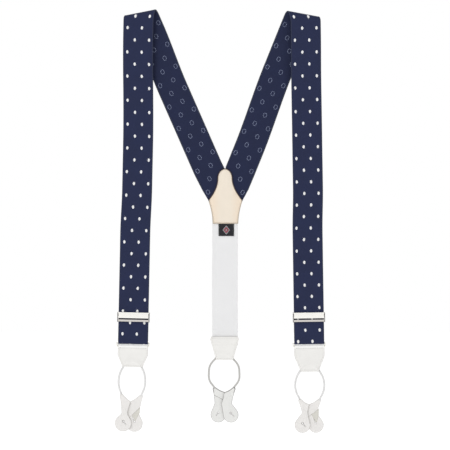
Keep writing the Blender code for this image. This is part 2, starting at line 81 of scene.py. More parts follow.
# Webbing: its size, the wrap it makes round the wire loop and the adjuster's rear bar, how far above the wire
# the adjuster reaches at the top of its travel and the webbing is loose, and its pattern of ovals.
WEB_WIDTH = 38.0 * MM
WEB_THICKNESS = 1.2 * MM
LOOP_BAR_SPACING = 5.8 * MM
ADJUSTER_ABOVE_BAR = 31.7 * MM
REAR_BAR_MIDDLE = 2.75 * MM
HOOK_HEIGHT = ADJUSTER_ABOVE_BAR + 4.8 * MM
HOOK_TUCK = 5.0 * MM
ADJUSTER_REACH = 138 * MM
LOOSE_ABOVE_BAR = 195 * MM
OVAL_HALF = (1.7 * MM, 2.0 * MM)
OVAL_REPEAT = 18.1 * MM
ROW_LEFT_OVAL = (-13.6 * MM, -4.3 * MM)
ROW_SHRINK = 0.02 * MM
ROWS = range(-18, 34)
FLOAT_PITCH = 0.5 * MM
SELVEDGE_PITCH = 2.7 * MM

# Each side's rows of ovals: how far below the fold the first is, its kind, the pitch on each run, and a
# shift across. Then how far the loose webbing lies to the right of its straight line: on each run, near the
# fold and farther on, and the distances from the fold between which the one passes into the other.
SIDES = {
    "left": {
        "first_row": 15.0 * MM,
        "first_kind": 0,
        "pitch": 15.42 * MM,
        "rear_pitch": 14.8 * MM,
        "shift": 0.1 * MM,
        "rear_drift": (1.3 * MM, -1.4 * MM),
        "rear_change": (20 * MM, 100 * MM),
        "front_drift": (-1.6 * MM, 1.2 * MM),
        "front_change": (20 * MM, 160 * MM),
    },
    "right": {
        "first_row": 13.6 * MM,
        "first_kind": 1,
        "pitch": 15.22 * MM,
        "rear_pitch": 14.5 * MM,
        "shift": -0.4 * MM,
        "rear_drift": (-2.9 * MM, 0.3 * MM),
        "rear_change": (75 * MM, 180 * MM),
        "front_drift": (1.9 * MM, 1.4 * MM),
        "front_change": (20 * MM, 80 * MM),
    },
}

# Leather.
LEATHER = 1.4 * MM
EAR_MAIN = 1.2 * MM
EAR_MAIN_MIDDLE = 1.35 * MM
EAR_FLAP = 0.6 * MM
EAR_FLAP_MIDDLE = 0.45 * MM
EDGE_ROUND = 0.45 * MM
STITCH_LENGTH = 2.3 * MM
STITCH_GAP = 0.7 * MM
STITCH_INSET = 1.9 * MM
BRIGHTEST_LEATHER = 0.94

# Threads: each one's half width, and its height over the sheet, which is negative on a reverse.
OVAL_YARN = (0.30 * MM, 0.15 * MM)
MARK_ALONG_YARN = (0.36 * MM, -0.12 * MM)
MARK_ACROSS_YARN = (0.32 * MM, -0.12 * MM)
SELVEDGE_YARN = (0.24 * MM, -0.12 * MM)
LABEL_YARN = (0.27 * MM, 0.12 * MM)
SEWING_YARN = (0.24 * MM, 0.26 * MM)
HOLE_YARN = (0.17 * MM, 0.16 * MM)
BAR_YARN = (0.20 * MM, 0.18 * MM)

# The yoke's outline between its tip, corners and bottom edge.
YOKE_DOME_FOOT = 27.6 * MM
YOKE_DOME_HALF = 9.7 * MM
YOKE_DOME_SHIFT = -0.6 * MM
YOKE_BOTTOM_HALF = 16.2 * MM
YOKE_FLANK_POWER = 1.9
YOKE_SKIRT_POWER = 1.8

# The label's lozenges: the outermost one's half size, the rows' pitch, then each one's outer and inner share
# of that size and its thread's slot.
LOZENGE_HALF = (4.6 * MM, 5.7 * MM)
LOZENGE_PITCH = 0.48 * MM
LOZENGES = ((1.0, 0.80, 2), (0.66, 0.40, 1), (0.24, 0.0, 2))

# The tab, cord and ears of each end. front_ear is -1 where the left ear lies in front.
ENDS = {
    "left": {
        "tab_top_half": 18.9 * MM,
        "tab_half": 18.9 * MM,
        "tab_straight": 13.3 * MM,
        "tab_height": 28.3 * MM,
        "tab_foot_half": 12.7 * MM,
        "exit_half": 11.0 * MM,
        "loop_half": 16.8 * MM,
        "notch_drop": 7.4 * MM,
        "waist_drop": 23.0 * MM,
        "waist_outer": {"front": 1.2 * MM, "back": 1.6 * MM},
        "waist_inner": {"front": 8.4 * MM, "back": 16.8 * MM},
        "blob_drop": 35.0 * MM,
        "blob_radius": 10.4 * MM,
        "blob_spacing": 14.2 * MM,
        "blob_shift": -1.6 * MM,
        "front_ear": -1,
    },
    "right": {
        "tab_top_half": 19.0 * MM,
        "tab_half": 19.0 * MM,
        "tab_straight": 14.2 * MM,
        "tab_height": 34.0 * MM,
        "tab_foot_half": 11.2 * MM,
        "exit_half": 12.0 * MM,
        "loop_half": 18.4 * MM,
        "notch_drop": 5.0 * MM,
        "waist_drop": 16.0 * MM,
        "waist_outer": {"front": 2.8 * MM, "back": 3.4 * MM},
        "waist_inner": {"front": 9.6 * MM, "back": 16.8 * MM},
        "blob_drop": 31.2 * MM,
        "blob_radius": 9.8 * MM,
        "blob_spacing": 17.2 * MM,
        "blob_shift": -0.6 * MM,
        "front_ear": -1,
    },
    "rear": {
        "tab_top_half": 17.0 * MM,
        "tab_half": 18.0 * MM,
        "tab_straight": 3.2 * MM,
        "tab_height": 29.3 * MM,
        "tab_foot_half": 11.0 * MM,
        "exit_half": 11.5 * MM,
        "loop_half": 19.4 * MM,
        "notch_drop": 4.5 * MM,
        "waist_drop": 19.0 * MM,
        "waist_outer": {"front": 2.8 * MM, "back": 0.4 * MM},
        "waist_inner": {"front": 16.0 * MM, "back": 12.8 * MM},
        "blob_drop": 33.3 * MM,
        "blob_radius": 9.6 * MM,
        "blob_spacing": 16.0 * MM,
        "blob_shift": 0.6 * MM,
        "front_ear": 1,
    },
}
TAB_FLANK_EASE = 0.02
TAB_RADIUS = 2.1 * MM
ROLL_DROP = 1.6 * MM
WIRE_RADIUS = 1.0 * MM
LOOP_HALF_WIDTH = 20.3 * MM
LOOP_CORNER = 1.6 * MM
CORD_RADIUS = 1.2 * MM
CORD_LOOP_HEIGHT = 37.5 * MM
CORD_STOP_RAISE = 0.3 * MM
CORD_STOP_OUTSIDE_PIVOT = 0.6 * MM
EAR_COLLAR_RADIUS = 2.2 * MM
EAR_NOTCH_PAST = {"front": -0.3 * MM, "back": 1.2 * MM}

# How far below its pivot an ear's flap ends, at the ear's outer edge and at the line between the pivots.
FLAP_DROP = {
    "left": (13.4 * MM, 26.6 * MM),
    "right": (10.4 * MM, 19.5 * MM),
    "rear": (8.6 * MM, 15.0 * MM),
}
HOLE_RADIUS = 0.8 * MM
HOLE_RAISE = 2.4 * MM
HOLE_STITCHES = 15
BAR_STITCHES = 4

# The camera's view: its height at VIEW_DEPTH behind the piece's front, and its middle. Then the floor.
VIEW_HEIGHT = 570.15 * MM
VIEW_DEPTH = 8 * MM
VIEW_MIDDLE = (-0.6 * MM, -31.7 * MM)
FLOOR_DROP = 0.16


# ---------------------------------------------------------------- materials


class Value:
    """A socket of a node tree that takes part in sums as a number does."""

    def __init__(self, graph, socket):
        self.graph, self.socket = graph, socket

    def __add__(self, other):
        return self.graph.math("ADD", self, other)

    def __sub__(self, other):
        return self.graph.math("SUBTRACT", self, other)

    def __mul__(self, other):
        return self.graph.math("MULTIPLY", self, other)

    def __abs__(self):
        return self.graph.math("ABSOLUTE", self)

    def clamped(self):
        self.socket.node.use_clamp = True
        return self


class Graph:
    """A node tree, with short ways to add nodes and join them."""

    def __init__(self, tree):
        self.tree = tree

    def put(self, socket, value):
        if isinstance(value, Value):
            self.tree.links.new(value.socket, socket)
        elif isinstance(value, tuple):
            socket.default_value = (*value, 1.0)
        else:
            socket.default_value = value

    def node(self, kind, inputs=(), **settings):
        """A new node. inputs gives its sockets' values, by name or number."""
        node = self.tree.nodes.new(f"ShaderNode{kind}")
        for key, value in settings.items():
            setattr(node, key, value)
        for key, value in dict(inputs).items():
            self.put(node.inputs[key], value)
        return node

    def value(self, kind, inputs=(), output=0, **settings):
        """A new node's output."""
        return Value(self, self.node(kind, inputs, **settings).outputs[output])

    def math(self, operation, *values):
        return self.value("Math", enumerate(values), operation=operation)

    def split(self, vector):
        node = self.node("SeparateXYZ", {0: vector})
        return [Value(self, output) for output in node.outputs]

    def join(self, x, y, z=0.0):
        return self.value("CombineXYZ", enumerate((x, y, z)))


class Finish(Graph):
    """A material's node tree."""

    def __init__(self, name, roughness, sheen=0.0, metallic=0.0, specular=0.4):
        self.material = bpy.data.materials.new(name)
        self.material.use_nodes = True
        super().__init__(self.material.node_tree)
        self.shader = self.tree.nodes["Principled BSDF"]
        self.set("Roughness", roughness)
        self.set("Metallic", metallic)
        self.set("Sheen Weight", sheen)
        self.set("Specular IOR Level", specular)

    def set(self, name, value):
        self.put(self.shader.inputs[name], value)

    def place(self):
        """The piece's flat coordinates as three sockets."""
        return self.split(self.value("Attribute", output="Vector", attribute_name="place"))

    def ramp(self, value, low, high):
        """0 below low, 1 above high, and smooth between."""
        inputs = {"Value": value, "From Min": low, "From Max": high}
        return self.value("MapRange", inputs, interpolation_type="SMOOTHSTEP")

    def ripple(self, value, pitch):
        """A sine of value, from -1 to 1, that repeats each pitch."""
        return self.math("SINE", value * (2 * math.pi / pitch))

    def noise(self, vector, size, detail=2.0):
        return self.value("TexNoise", {"Vector": vector, "Scale": 1 / size, "Detail": detail}, "Fac")

    def cells(self, vector, size):
        inputs = {"Vector": vector, "Scale": 1 / size}
        return self.value("TexVoronoi", inputs, "Distance", feature="DISTANCE_TO_EDGE")

    def mix(self, share, first, second):
        """A blend of two colours."""
        return self.value("Mix", {0: share, 6: first, 7: second}, 2, data_type="RGBA")

    def done(self, colour, height=None, depth=0.0, roughness=None):
        """Joins the colour, the relief (height times depth) and the roughness to the shader."""
        self.set("Base Color", colour)
        if roughness is not None:
            self.set("Roughness", roughness)
        if height is not None:
            self.set("Normal", self.value("Bump", {"Height": height, "Distance": depth}))
        return self.material


def shade(colour, factor):
    return tuple(channel * factor for channel in colour)


def webbing_finish():
    """Navy satin-faced webbing: fine twill, plain weft bars, slubs, and a greyer selvedge."""
    base = (0.0192, 0.0254, 0.0680)
    selvedge_grey = (0.050, 0.055, 0.075)
    finish = Finish("navy_webbing", 0.75, sheen=0.05, specular=0.15)
    across, along, side = finish.place()
    twill = finish.ripple(across + along * 0.6, 1.1 * MM)
    weft = finish.ripple(along, 0.62 * MM)
    slub = finish.noise(finish.join(across, along * 6.0), 2.2 * MM, 3.0)
    cloud = finish.noise(finish.join(across, along), 22 * MM)
    height = twill * 0.5 + weft * 0.3 + slub * 0.6
    tone = (cloud * 0.55 + slub * 0.35 + twill * 0.12).clamped()
    face = finish.mix(tone, shade(base, 0.72), shade(base, 1.32))
    reverse = finish.mix(tone, shade(base, 0.62), shade(base, 1.1))
    border = finish.ramp(abs(across), WEB_WIDTH / 2 - 1.5 * MM, WEB_WIDTH / 2 - 0.9 * MM)
    colour = finish.mix(finish.ramp(side, 0.2, -0.2), face, reverse)
    colour = finish.mix(border * 0.35, colour, selvedge_grey)
    return finish.done(colour, height, 0.09 * MM, cloud * 0.2 + 0.62)


def thread_finish(name, colour, roughness=0.55):
    """Twisted thread: strands that run aslant round each float."""
    finish = Finish(name, roughness, sheen=0.2)
    across, along, _ = finish.place()
    strand = finish.ripple(across + along * 1.4, 0.42 * MM)
    fibre = finish.noise(finish.join(across, along), 0.3 * MM, 3.0)
    tone = (strand * 0.15 + fibre).clamped()
    return finish.done(finish.mix(tone, shade(colour, 0.86), shade(colour, 1.06)), strand, 0.03 * MM)


def leather_finish(name, colour, edge, edge_band=0.5 * MM, grain=0.8 * MM, roughness=0.5, **extra):
    """Grained leather with a painted rim, edge_band wide.

    extra may give upper_edge (another colour for the rim above the origin's level: partly dark edge paint and
    partly painted shade), blush (a warmer colour towards the sides), lit (a lighter colour near z = 0, where
    the leather bends towards the light) and cord_line (how much wider the rim's line is at the top: a painted
    shade line over the cord).
    """
    finish = Finish(name, roughness, sheen=0.05)
    x, z, rim = finish.place()
    flat = finish.join(x, z)
    bend = finish.noise(flat, 3 * MM)
    pebble = finish.cells(finish.join(x + bend * (0.8 * MM), z), grain)
    pore = finish.noise(flat, 0.35 * MM, 3.0)
    cloud = finish.noise(flat, 14 * MM, 3.0)
    height = finish.math("MINIMUM", pebble * 3.0, 0.6) + pore * 0.3 + bend * 0.9
    tone = (cloud * 0.7 + pore * 0.3).clamped()
    light = tuple(min(BRIGHTEST_LEATHER, channel) for channel in shade(colour, 1.05))
    body = finish.mix(tone, shade(colour, 0.93), light)
    if "blush" in extra:
        outer = finish.ramp(abs(x) + bend * (8 * MM), 9 * MM, 21 * MM)
        body = finish.mix(outer * 0.6, body, extra["blush"])
    # Above the origin's level the rim takes upper_edge: partly dark edge paint, partly painted shade.
    if "upper_edge" in extra:
        edge = finish.mix(finish.ramp(z, -2.5 * MM, -0.5 * MM), edge, extra["upper_edge"])
    if "lit" in extra:
        body = finish.mix(finish.ramp(abs(z), 5.6 * MM, 3.6 * MM), body, extra["lit"])
    # How far the rim's line reaches in from the rim, a little unevenly. The line is edge paint, and partly
    # painted shade where a dark rim colour, upper_edge or cord_line is given.
    rim_line_reach = rim + (bend - 0.5) * (0.25 * MM)
    # cord_line widens the rim's line at the top into a painted shade line along the cord.
    if "cord_line" in extra:
        rim_line_reach = rim_line_reach - finish.ramp(z, -7 * MM, -4 * MM) * extra["cord_line"]
    body = finish.mix(finish.ramp(rim_line_reach, edge_band * 1.1, edge_band * 0.6), body, edge)
    return finish.done(body, height, 0.07 * MM, cloud * 0.22 + (roughness - 0.1))


def elastic_finish():
    """White elastic: fine crimped threads across close ribs."""
    finish = Finish("white_elastic", 0.8, sheen=0.15, specular=0.25)
    across, along, _ = finish.place()
    flat = finish.join(across, along)
    crimp = finish.ripple(along + finish.ripple(across, 2.6 * MM) * (0.12 * MM), 0.7 * MM)
    fibre = finish.noise(flat, 0.5 * MM, 3.0)
    tone = (fibre * 0.5 + finish.noise(flat, 30 * MM) * 0.5).clamped()
    colour = finish.mix(tone, (0.79, 0.79, 0.80), (0.88, 0.88, 0.88))
    return finish.done(colour, crimp * 0.5 + fibre, 0.05 * MM)


def label_finish():
    """Black taffeta ground of the woven label."""
    finish = Finish("label_ground", 0.75, sheen=0.1, specular=0.25)
    across, along, _ = finish.place()
    weave = finish.ripple(across, 0.34 * MM) * finish.ripple(along, 0.34 * MM)
    tone = (weave * 0.3 + finish.noise(finish.join(across, along), 0.4 * MM)).clamped()
    return finish.done(finish.mix(tone, (0.009, 0.009, 0.012), (0.026, 0.026, 0.031)), weave, 0.04 * MM)


def nickel_finish(name, colour, strap=None):
    """Polished nickel, faintly brushed, smudged and scratched. Past a strap's edges it is in shade."""
    finish = Finish(name, 0.16, metallic=1.0)
    coordinates = finish.value("TexCoord", output="Object")
    x, y, z = finish.split(coordinates)
    brush = finish.noise(finish.join(x * 0.05, y, z), 0.12 * MM)
    smudge = finish.noise(coordinates, 7 * MM, 3.0)
    scratch = finish.ramp(finish.noise(finish.join(x * 0.2, z + x * 0.6, y), 0.5 * MM), 0.68, 0.74)
    colour = finish.mix(smudge, shade(colour, 0.96), shade(colour, 1.02))
    colour = finish.mix(scratch * 0.15, colour, (0.7, 0.68, 0.63))
    if strap:
        across = abs(x * strap.right[0] + z * strap.right[1] - float(strap.origin @ strap.right))
        past = finish.ramp(across, WEB_WIDTH / 2 + 0.1 * MM, WEB_WIDTH / 2 + 0.5 * MM)
        colour = finish.mix(past, colour, (0.22, 0.21, 0.20))
    return finish.done(colour, brush + scratch, 0.003 * MM, smudge * 0.16 + 0.10 + scratch * 0.15)


NAVY = webbing_finish()
OVAL_THREAD = thread_finish("oval_thread", (0.94, 0.94, 0.94))
MARK_THREAD = thread_finish("mark_thread", (0.27, 0.31, 0.46), 0.7)
SELVEDGE_THREAD = thread_finish("selvedge_thread", (0.11, 0.12, 0.11), 0.75)
# The cream lining's rim: tan edge paint on the lower sides. Above the origin's level it is near black, partly
# dark edge paint and partly painted shade where the lining meets the navy webbing.
CREAM = leather_finish(
    "cream_leather",
    (0.875, 0.785, 0.665),
    (0.50, 0.42, 0.33),
    edge_band=1.45 * MM,
    upper_edge=(0.040, 0.022, 0.020),
    blush=(0.88, 0.72, 0.56),
)
YOKE_WHITE = leather_finish("yoke_white_leather", (0.86, 0.85, 0.82), (0.50, 0.46, 0.40))
WHITE = leather_finish(
    "white_leather", (0.87, 0.86, 0.835), (0.62, 0.60, 0.56), 0.35 * MM, lit=(0.94, 0.94, 0.925)
)
EAR_WHITE = leather_finish(
    "ear_leather", (0.84, 0.82, 0.80), (0.58, 0.56, 0.53), 0.4 * MM, roughness=0.55
)
# The rear ears' dark grey rim is partly edge paint and partly painted shade. cord_line adds a painted shade
# line along their top edge, over the cord.
REAR_EAR_WHITE = leather_finish(
    "rear_ear_leather", (0.81, 0.81, 0.79), (0.30, 0.29, 0.28), cord_line=0.6 * MM
)
# Near black on the button holes' rims and walls: painted shade inside the holes.
HOLE_SHADE = leather_finish("hole_edge", (0.17, 0.15, 0.14), (0.17, 0.15, 0.14), 0.1 * MM)
# Olive grey for the patch under a back ear's flap: partly the leather's suede reverse, partly painted shade
# below the flap's edge.
SUEDE_AND_SHADE = leather_finish(
    "suede_reverse", (0.71, 0.695, 0.64), (0.58, 0.56, 0.50), grain=0.4 * MM, roughness=0.85
)
CORD_WHITE = leather_finish("cord_leather", (0.77, 0.765, 0.76), (0.6, 0.58, 0.55), 0.1 * MM, 0.5 * MM)
REAR_CORD = leather_finish("rear_cord_leather", (0.54, 0.53, 0.51), (0.4, 0.4, 0.4), 0.1 * MM, 0.5 * MM)
CREAM_THREAD = thread_finish("cream_thread", (0.80, 0.70, 0.57))
HOLE_THREAD = thread_finish("hole_thread", (0.30, 0.28, 0.26))
WHITE_THREAD = thread_finish("white_thread", (0.80, 0.79, 0.76))
GREY_THREAD = thread_finish("grey_thread", (0.52, 0.51, 0.49))
ELASTIC = elastic_finish()
LABEL = label_finish()
LABEL_RED = thread_finish("label_red_thread", (0.55, 0.10, 0.14))
LABEL_GREY = thread_finish("label_grey_thread", (0.50, 0.48, 0.50))
NICKEL = nickel_finish("polished_nickel", (0.94, 0.925, 0.88))


# ---------------------------------------------------------------- building


class Shape:
    """Points, their flat coordinates, faces and the faces' material slots, gathered to make one mesh."""

    def __init__(self):
        self.points, self.places, self.faces, self.slots = [], [], [], []
        self.count = 0

    def add(self, points, places, faces, slot=0):
        self.points.append(points)
        self.places.append(places)
        self.faces += [tuple(index + self.count for index in face) for face in faces]
        self.slots += slot if isinstance(slot, list) else [slot] * len(faces)
        self.count += len(points)

    def mesh(self, name):
        mesh = bpy.data.meshes.new(name)
        mesh.from_pydata(np.concatenate(self.points).tolist(), [], self.faces)
        place = mesh.attributes.new("place", "FLOAT_VECTOR", "POINT")
        place.data.foreach_set("vector", np.concatenate(self.places).astype(np.float32).ravel())
        mesh.polygons.foreach_set("material_index", self.slots)
        return mesh

    def build(self, name, finishes, node, body=None, smooth_angle=50):
        """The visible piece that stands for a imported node, riding on a body if one is named."""
        mesh = self.mesh(name)
        for finish in finishes:
            mesh.materials.append(finish)
        net = bmesh.new()
        net.from_mesh(mesh)
        bmesh.ops.recalc_face_normals(net, faces=net.faces)
        net.to_mesh(mesh)
        net.free()
        mesh.shade_smooth()
        mesh.set_sharp_from_angle(angle=math.radians(smooth_angle))
        obj = added(name, mesh)
        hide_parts(node)
        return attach(obj, body) if body else obj


def added(name, data):
    """A new object in the scene."""
    obj = bpy.data.objects.new(name, data)
    bpy.context.scene.collection.objects.link(obj)
    return obj


def rings_of(rows, columns, first=0):
    """The vertex numbers of rows of columns, row by row."""
    return [range(first + r * columns, first + (r + 1) * columns) for r in range(rows)]


def band(first, second):
    """Quads between two rings of vertices."""
    count = len(first)
    return [(first[i], first[(i + 1) % count], second[(i + 1) % count], second[i]) for i in range(count)]


def bands(rings):
    """Quads between each ring of vertices and the next."""
    return [face for pair in zip(rings, rings[1:]) for face in band(*pair)]


def smooth_step(value, low, high):
    t = np.clip((value - low) / (high - low), 0, 1)
    return t * t * (3 - 2 * t)


def plateau(value, rise, fall):
    """0, then up to 1 over the range rise, and back to 0 over the range fall."""
    return smooth_step(value, *rise) * (1 - smooth_step(value, *fall))


def hump(value, width):
    """1 at value 0, falling to nothing over a few widths."""
    return np.exp(-((value / width) ** 2))


def ribbon(shape, lay, stations, section, half_thickness):
    """A closed strip: section, a loop of (u, h), is laid at each of the stations along it."""
    u, h = np.tile(section, (len(stations), 1)).T
    s = np.repeat(stations, len(section))
    rings = rings_of(len(stations), len(section))
    faces = [*bands(rings), tuple(rings[0]), tuple(rings[-1])]
    shape.add(lay(u, s, h), np.stack([u, s, h / half_thickness], 1), faces)


def strip_section(width, thickness, across, relief):
    """A strip's cross-section. relief(u) thickens it at u, and across lists the values of u on its face."""
    half, edge = width / 2, thickness / 2
    face = [(u, edge + relief(u)) for u in across]
    turn = [math.radians(a) for a in (25, 55, 90, 125, 155)]
    right = [(half - edge + edge * math.sin(a), edge * math.cos(a)) for a in turn]
    back = [(u, -h) for u, h in reversed(face)]
    left = [(-u, -h) for u, h in right]
    return face + right + back + left


def thread(shape, lay, centre, direction, half_length, yarn, base, slot):
    """A float of thread that lies on a sheet and dips into it at both ends."""
    sides = 6
    steps = ((-1, 0), (-0.86, 0.62), (-0.45, 1), (0.45, 1), (0.86, 0.62), (1, 0))
    half_width, height = yarn
    du, ds = direction
    places = []
    for t, size in steps:
        for i in range(sides if size else 1):
            angle = 2 * math.pi * i / sides
            beside = half_width * size * math.cos(angle)
            u = centre[0] + du * t * half_length - ds * beside
            s = centre[1] + ds * t * half_length + du * beside
            places.append((u, s, base + height * (size * math.sin(angle) + 0.35 * (size - 1))))
    places = np.array(places)
    rings = rings_of(len(steps) - 2, sides, 1)
    faces = bands(rings)
    for tip, ring in ((0, rings[0]), (len(places) - 1, rings[-1])):
        faces += [(tip, first, second) for first, second, _, _ in band(ring, ring)]
    shape.add(lay(*places.T), places, faces, slot)


def signed_area(outline):
    x, z = outline[:, 0], outline[:, 1]
    return 0.5 * float(np.sum(x * np.roll(z, -1) - np.roll(x, -1) * z))


def refine(outline, step):
    """The closed outline with points at most step apart, anticlockwise."""
    outline = np.asarray(outline, float)
    outline = outline[np.linalg.norm(outline - np.roll(outline, 1, axis=0), axis=1) > 0.2 * MM]
    if signed_area(outline) < 0:
        outline = outline[::-1]
    points = []
    for first, second in zip(outline, np.roll(outline, -1, axis=0)):
        pieces = max(1, math.ceil(np.linalg.norm(second - first) / step))
        points += [first + (second - first) * i / pieces for i in range(pieces)]
    return np.array(points)


def inset(outline, distance):
    """The anticlockwise outline moved inwards, or outwards for a negative distance."""
    before = outline - np.roll(outline, 1, axis=0)
    after = np.roll(outline, -1, axis=0) - outline
    normals = []
    for edge in (before, after):
        edge = edge / np.linalg.norm(edge, axis=1, keepdims=True)
        normals.append(np.stack([-edge[:, 1], edge[:, 0]], 1))
    middle = normals[0] + normals[1]
    length = np.linalg.norm(middle, axis=1, keepdims=True)
    middle = middle / np.maximum(length, 1e-9)
    stretch = 1 / np.maximum(0.6, np.sum(middle * normals[0], axis=1, keepdims=True))
    return outline + middle * stretch * distance


def rim_distance(x, z, outline):
    """How far each point (x, z) is from the outline."""
    points = np.stack([x, z], 1)
    nearest = np.full(len(points), 1e9)
    for first, second in zip(outline, np.roll(outline, -1, axis=0)):
        edge = second - first
        share = np.clip((points - first) @ edge / (edge @ edge), 0, 1)
        gap = points - (first + share[:, None] * edge)
        nearest = np.minimum(nearest, np.hypot(gap[:, 0], gap[:, 1]))
    return nearest


def inside(points, outline):
    """Which of the points lie within the outline."""
    x, z = points[:, 0], points[:, 1]
    crossings = np.zeros(len(points), int)
    for (first_x, first_z), (second_x, second_z) in zip(outline, np.roll(outline, -1, axis=0)):
        rise = (second_z - first_z) or 1.0
        spans = (first_z > z) != (second_z > z)
        crossings += spans & (x < first_x + (z - first_z) * (second_x - first_x) / rise)
    return crossings % 2 == 1


def lattice(outlines, cell, z_cuts, rings):
    """Staggered points inside the first outline and outside the others.

    z_cuts are the levels that must have rows, and rings the distances inside the rim that must have rings.
    """
    low, high = outlines[0].min(0), outlines[0].max(0)
    rows = [z for z in np.arange(low[1], high[1], cell) if all(abs(z - cut) > 0.5 * cell for cut in z_cuts)]
    points = []
    for i, z in enumerate(sorted([*rows, *z_cuts])):
        points += [(x, z) for x in np.arange(low[0] + cell * (i % 2) / 2, high[0], cell)]
    points = np.array(points)
    kept = inside(points, outlines[0])
    for line in outlines[1:]:
        kept &= ~inside(points, line)
    for line in outlines:
        kept &= rim_distance(points[:, 0], points[:, 1], line) > 0.4 * cell
    rim = rim_distance(points[:, 0], points[:, 1], outlines[0])
    found = []
    for ring in rings:
        kept &= np.abs(rim - ring) > 0.35 * cell
        placed = inset(outlines[0], ring)
        clear = rim_distance(placed[:, 0], placed[:, 1], outlines[0]) > ring - 0.02 * MM
        found.append(placed[clear & inside(placed, outlines[0])])
    return np.concatenate([points[kept], *found])


def sheet(
    shape, lay, outline, thickness, slot=0, holes=(), hole_slot=0, cell=1.6 * MM, groove=0.0, z_cuts=()
):
    """A sheet with round edges, on a net fine enough for lay to bend. groove is the stitch line's depth."""
    outline = refine(outline, 0.9 * MM)
    half = thickness / 2
    edge = min(EDGE_ROUND, 0.8 * half)
    profile = [(0.0, half - edge), (0.3 * edge, half - 0.3 * edge), (edge, half)]
    hole_profile = [(0.7 * distance, height) for distance, height in profile]
    rings = [STITCH_INSET - edge + step * 0.45 * MM for step in (-1, 0, 1)] if groove else []
    loops = [(outline, profile, 1, slot)]
    loops += [(refine(hole, 0.5 * MM), hole_profile, -1, hole_slot) for hole in holes]
    points, faces, slots, walls = [], [], [], []

    def gather(new, kind):
        faces.extend(new)
        slots.extend([kind] * len(new))

    for side in (1, -1):
        inner = []
        for line, steps, inwards, kind in loops:
            before = None
            for distance, height in steps:
                ring = list(range(len(points), len(points) + len(line)))
                points += [(x, z, side * height) for x, z in inset(line, inwards * distance)]
                if before:
                    gather(band(before, ring), kind)
                else:
                    walls.append((ring, kind))
                before = ring
            inner.append(before)
        numbers = [index for ring in inner for index in ring]
        outlines = [np.array([points[index][:2] for index in ring]) for ring in inner]
        spare = lattice(outlines, cell, z_cuts, rings)
        edges, start = [], 0
        for ring in inner:
            edges += [(start + i, start + (i + 1) % len(ring)) for i in range(len(ring))]
            start += len(ring)
        flat = np.concatenate([*outlines, spare])
        numbers += range(len(points), len(points) + len(spare))
        points += [(x, z, side * half) for x, z in spare]
        net = delaunay_2d_cdt([Vector(point) for point in flat], edges, [], 0, 1e-8)
        placed = []
        for vertex, sources in zip(net[0], net[3]):
            if not sources:
                points.append((vertex.x, vertex.y, side * half))
            placed.append(numbers[sources[0]] if sources else len(points) - 1)
        triangles = np.array(net[2])
        centres = np.array(net[0])[triangles].mean(axis=1)
        kept = inside(centres, outlines[0])
        for line in outlines[1:]:
            kept &= ~inside(centres, line)
        gather([tuple(placed[i] for i in triangle) for triangle in triangles[kept]], slot)
    for (upper, kind), (lower, _) in zip(walls[: len(loops)], walls[len(loops) :]):
        gather(band(upper, lower), kind)
    flat = np.array(points)
    rim = rim_distance(flat[:, 0], flat[:, 1], outline)
    places = np.stack([flat[:, 0], flat[:, 1], rim], 1)
    sunk = flat[:, 2] * (1 - groove / half * np.exp(-(((rim - STITCH_INSET) / (0.35 * MM)) ** 2)))
    shape.add(lay(flat[:, 0], flat[:, 1], sunk), places, faces, slots)


def evenly(path, step, closed=True):
    """Points and directions at even steps along a path."""
    path = np.asarray(path, float)
    if closed:
        path = np.concatenate([path, path[:1]])
    gaps = np.linalg.norm(np.diff(path, axis=0), axis=1)
    travel = np.concatenate([[0], np.cumsum(gaps)])
    count = max(1, round(travel[-1] / step))
    places = []
    for i in range(count):
        at = travel[-1] * (i + 0.5) / count
        k = min(len(gaps) - 1, int(np.searchsorted(travel, at)) - 1)
        share = (at - travel[k]) / gaps[k]
        places.append((path[k] + (path[k + 1] - path[k]) * share, (path[k + 1] - path[k]) / gaps[k]))
    return places


def stitches(shape, lay, path, base, slot, closed=True, aslant=0.12):
    """A row of thread stitches, each a little aslant, along a path on a sheet."""
    for place, direction in evenly(path, STITCH_LENGTH + STITCH_GAP, closed):
        turned = (direction[0] - aslant * direction[1], direction[1] + aslant * direction[0])
        thread(shape, lay, place, turned, STITCH_LENGTH / 2, SEWING_YARN, base - 0.04 * MM, slot)


def tube(shape, points, radius, sides=12, closed=False, seam=0.0):
    """A round cord through the points, with a seam pressed into one side. Its ends are domed."""
    points = np.asarray(points, float)
    ahead = np.roll(points, -1, axis=0) - np.roll(points, 1, axis=0)
    if not closed:
        ahead[0], ahead[-1] = points[1] - points[0], points[-1] - points[-2]
    ahead /= np.linalg.norm(ahead, axis=1, keepdims=True)
    beside = np.cross(ahead, Y_AXIS)
    beside /= np.linalg.norm(beside, axis=1, keepdims=True)
    travel = np.concatenate([[0], np.cumsum(np.linalg.norm(np.diff(points, axis=0), axis=1))])
    rings, places = [], []
    steps = [(k, 0.0, 1.0) for k in range(len(points))]
    if not closed:
        last = len(points) - 1
        steps = [(0, -0.85, 0.45), (0, -0.45, 0.85), *steps, (last, 0.45, 0.85), (last, 0.85, 0.45)]
    for k, forward, size in steps:
        for i in range(sides):
            angle = 2 * math.pi * i / sides
            reach = radius * size * (1 - seam * math.exp(-((angle - math.pi / 2) ** 2) / 0.12))
            offset = math.cos(angle) * beside[k] - math.sin(angle) * Y_AXIS
            rings.append(points[k] + forward * radius * ahead[k] + reach * offset)
            places.append((radius * (angle if angle < math.pi else angle - 2 * math.pi), travel[k], 1 * MM))
    loops = rings_of(len(steps), sides)
    ends = [] if closed else [tuple(loops[0]), tuple(loops[-1])]
    faces = bands(loops + loops[:1] if closed else loops) + ends
    shape.add(np.array(rings), np.array(places), faces)


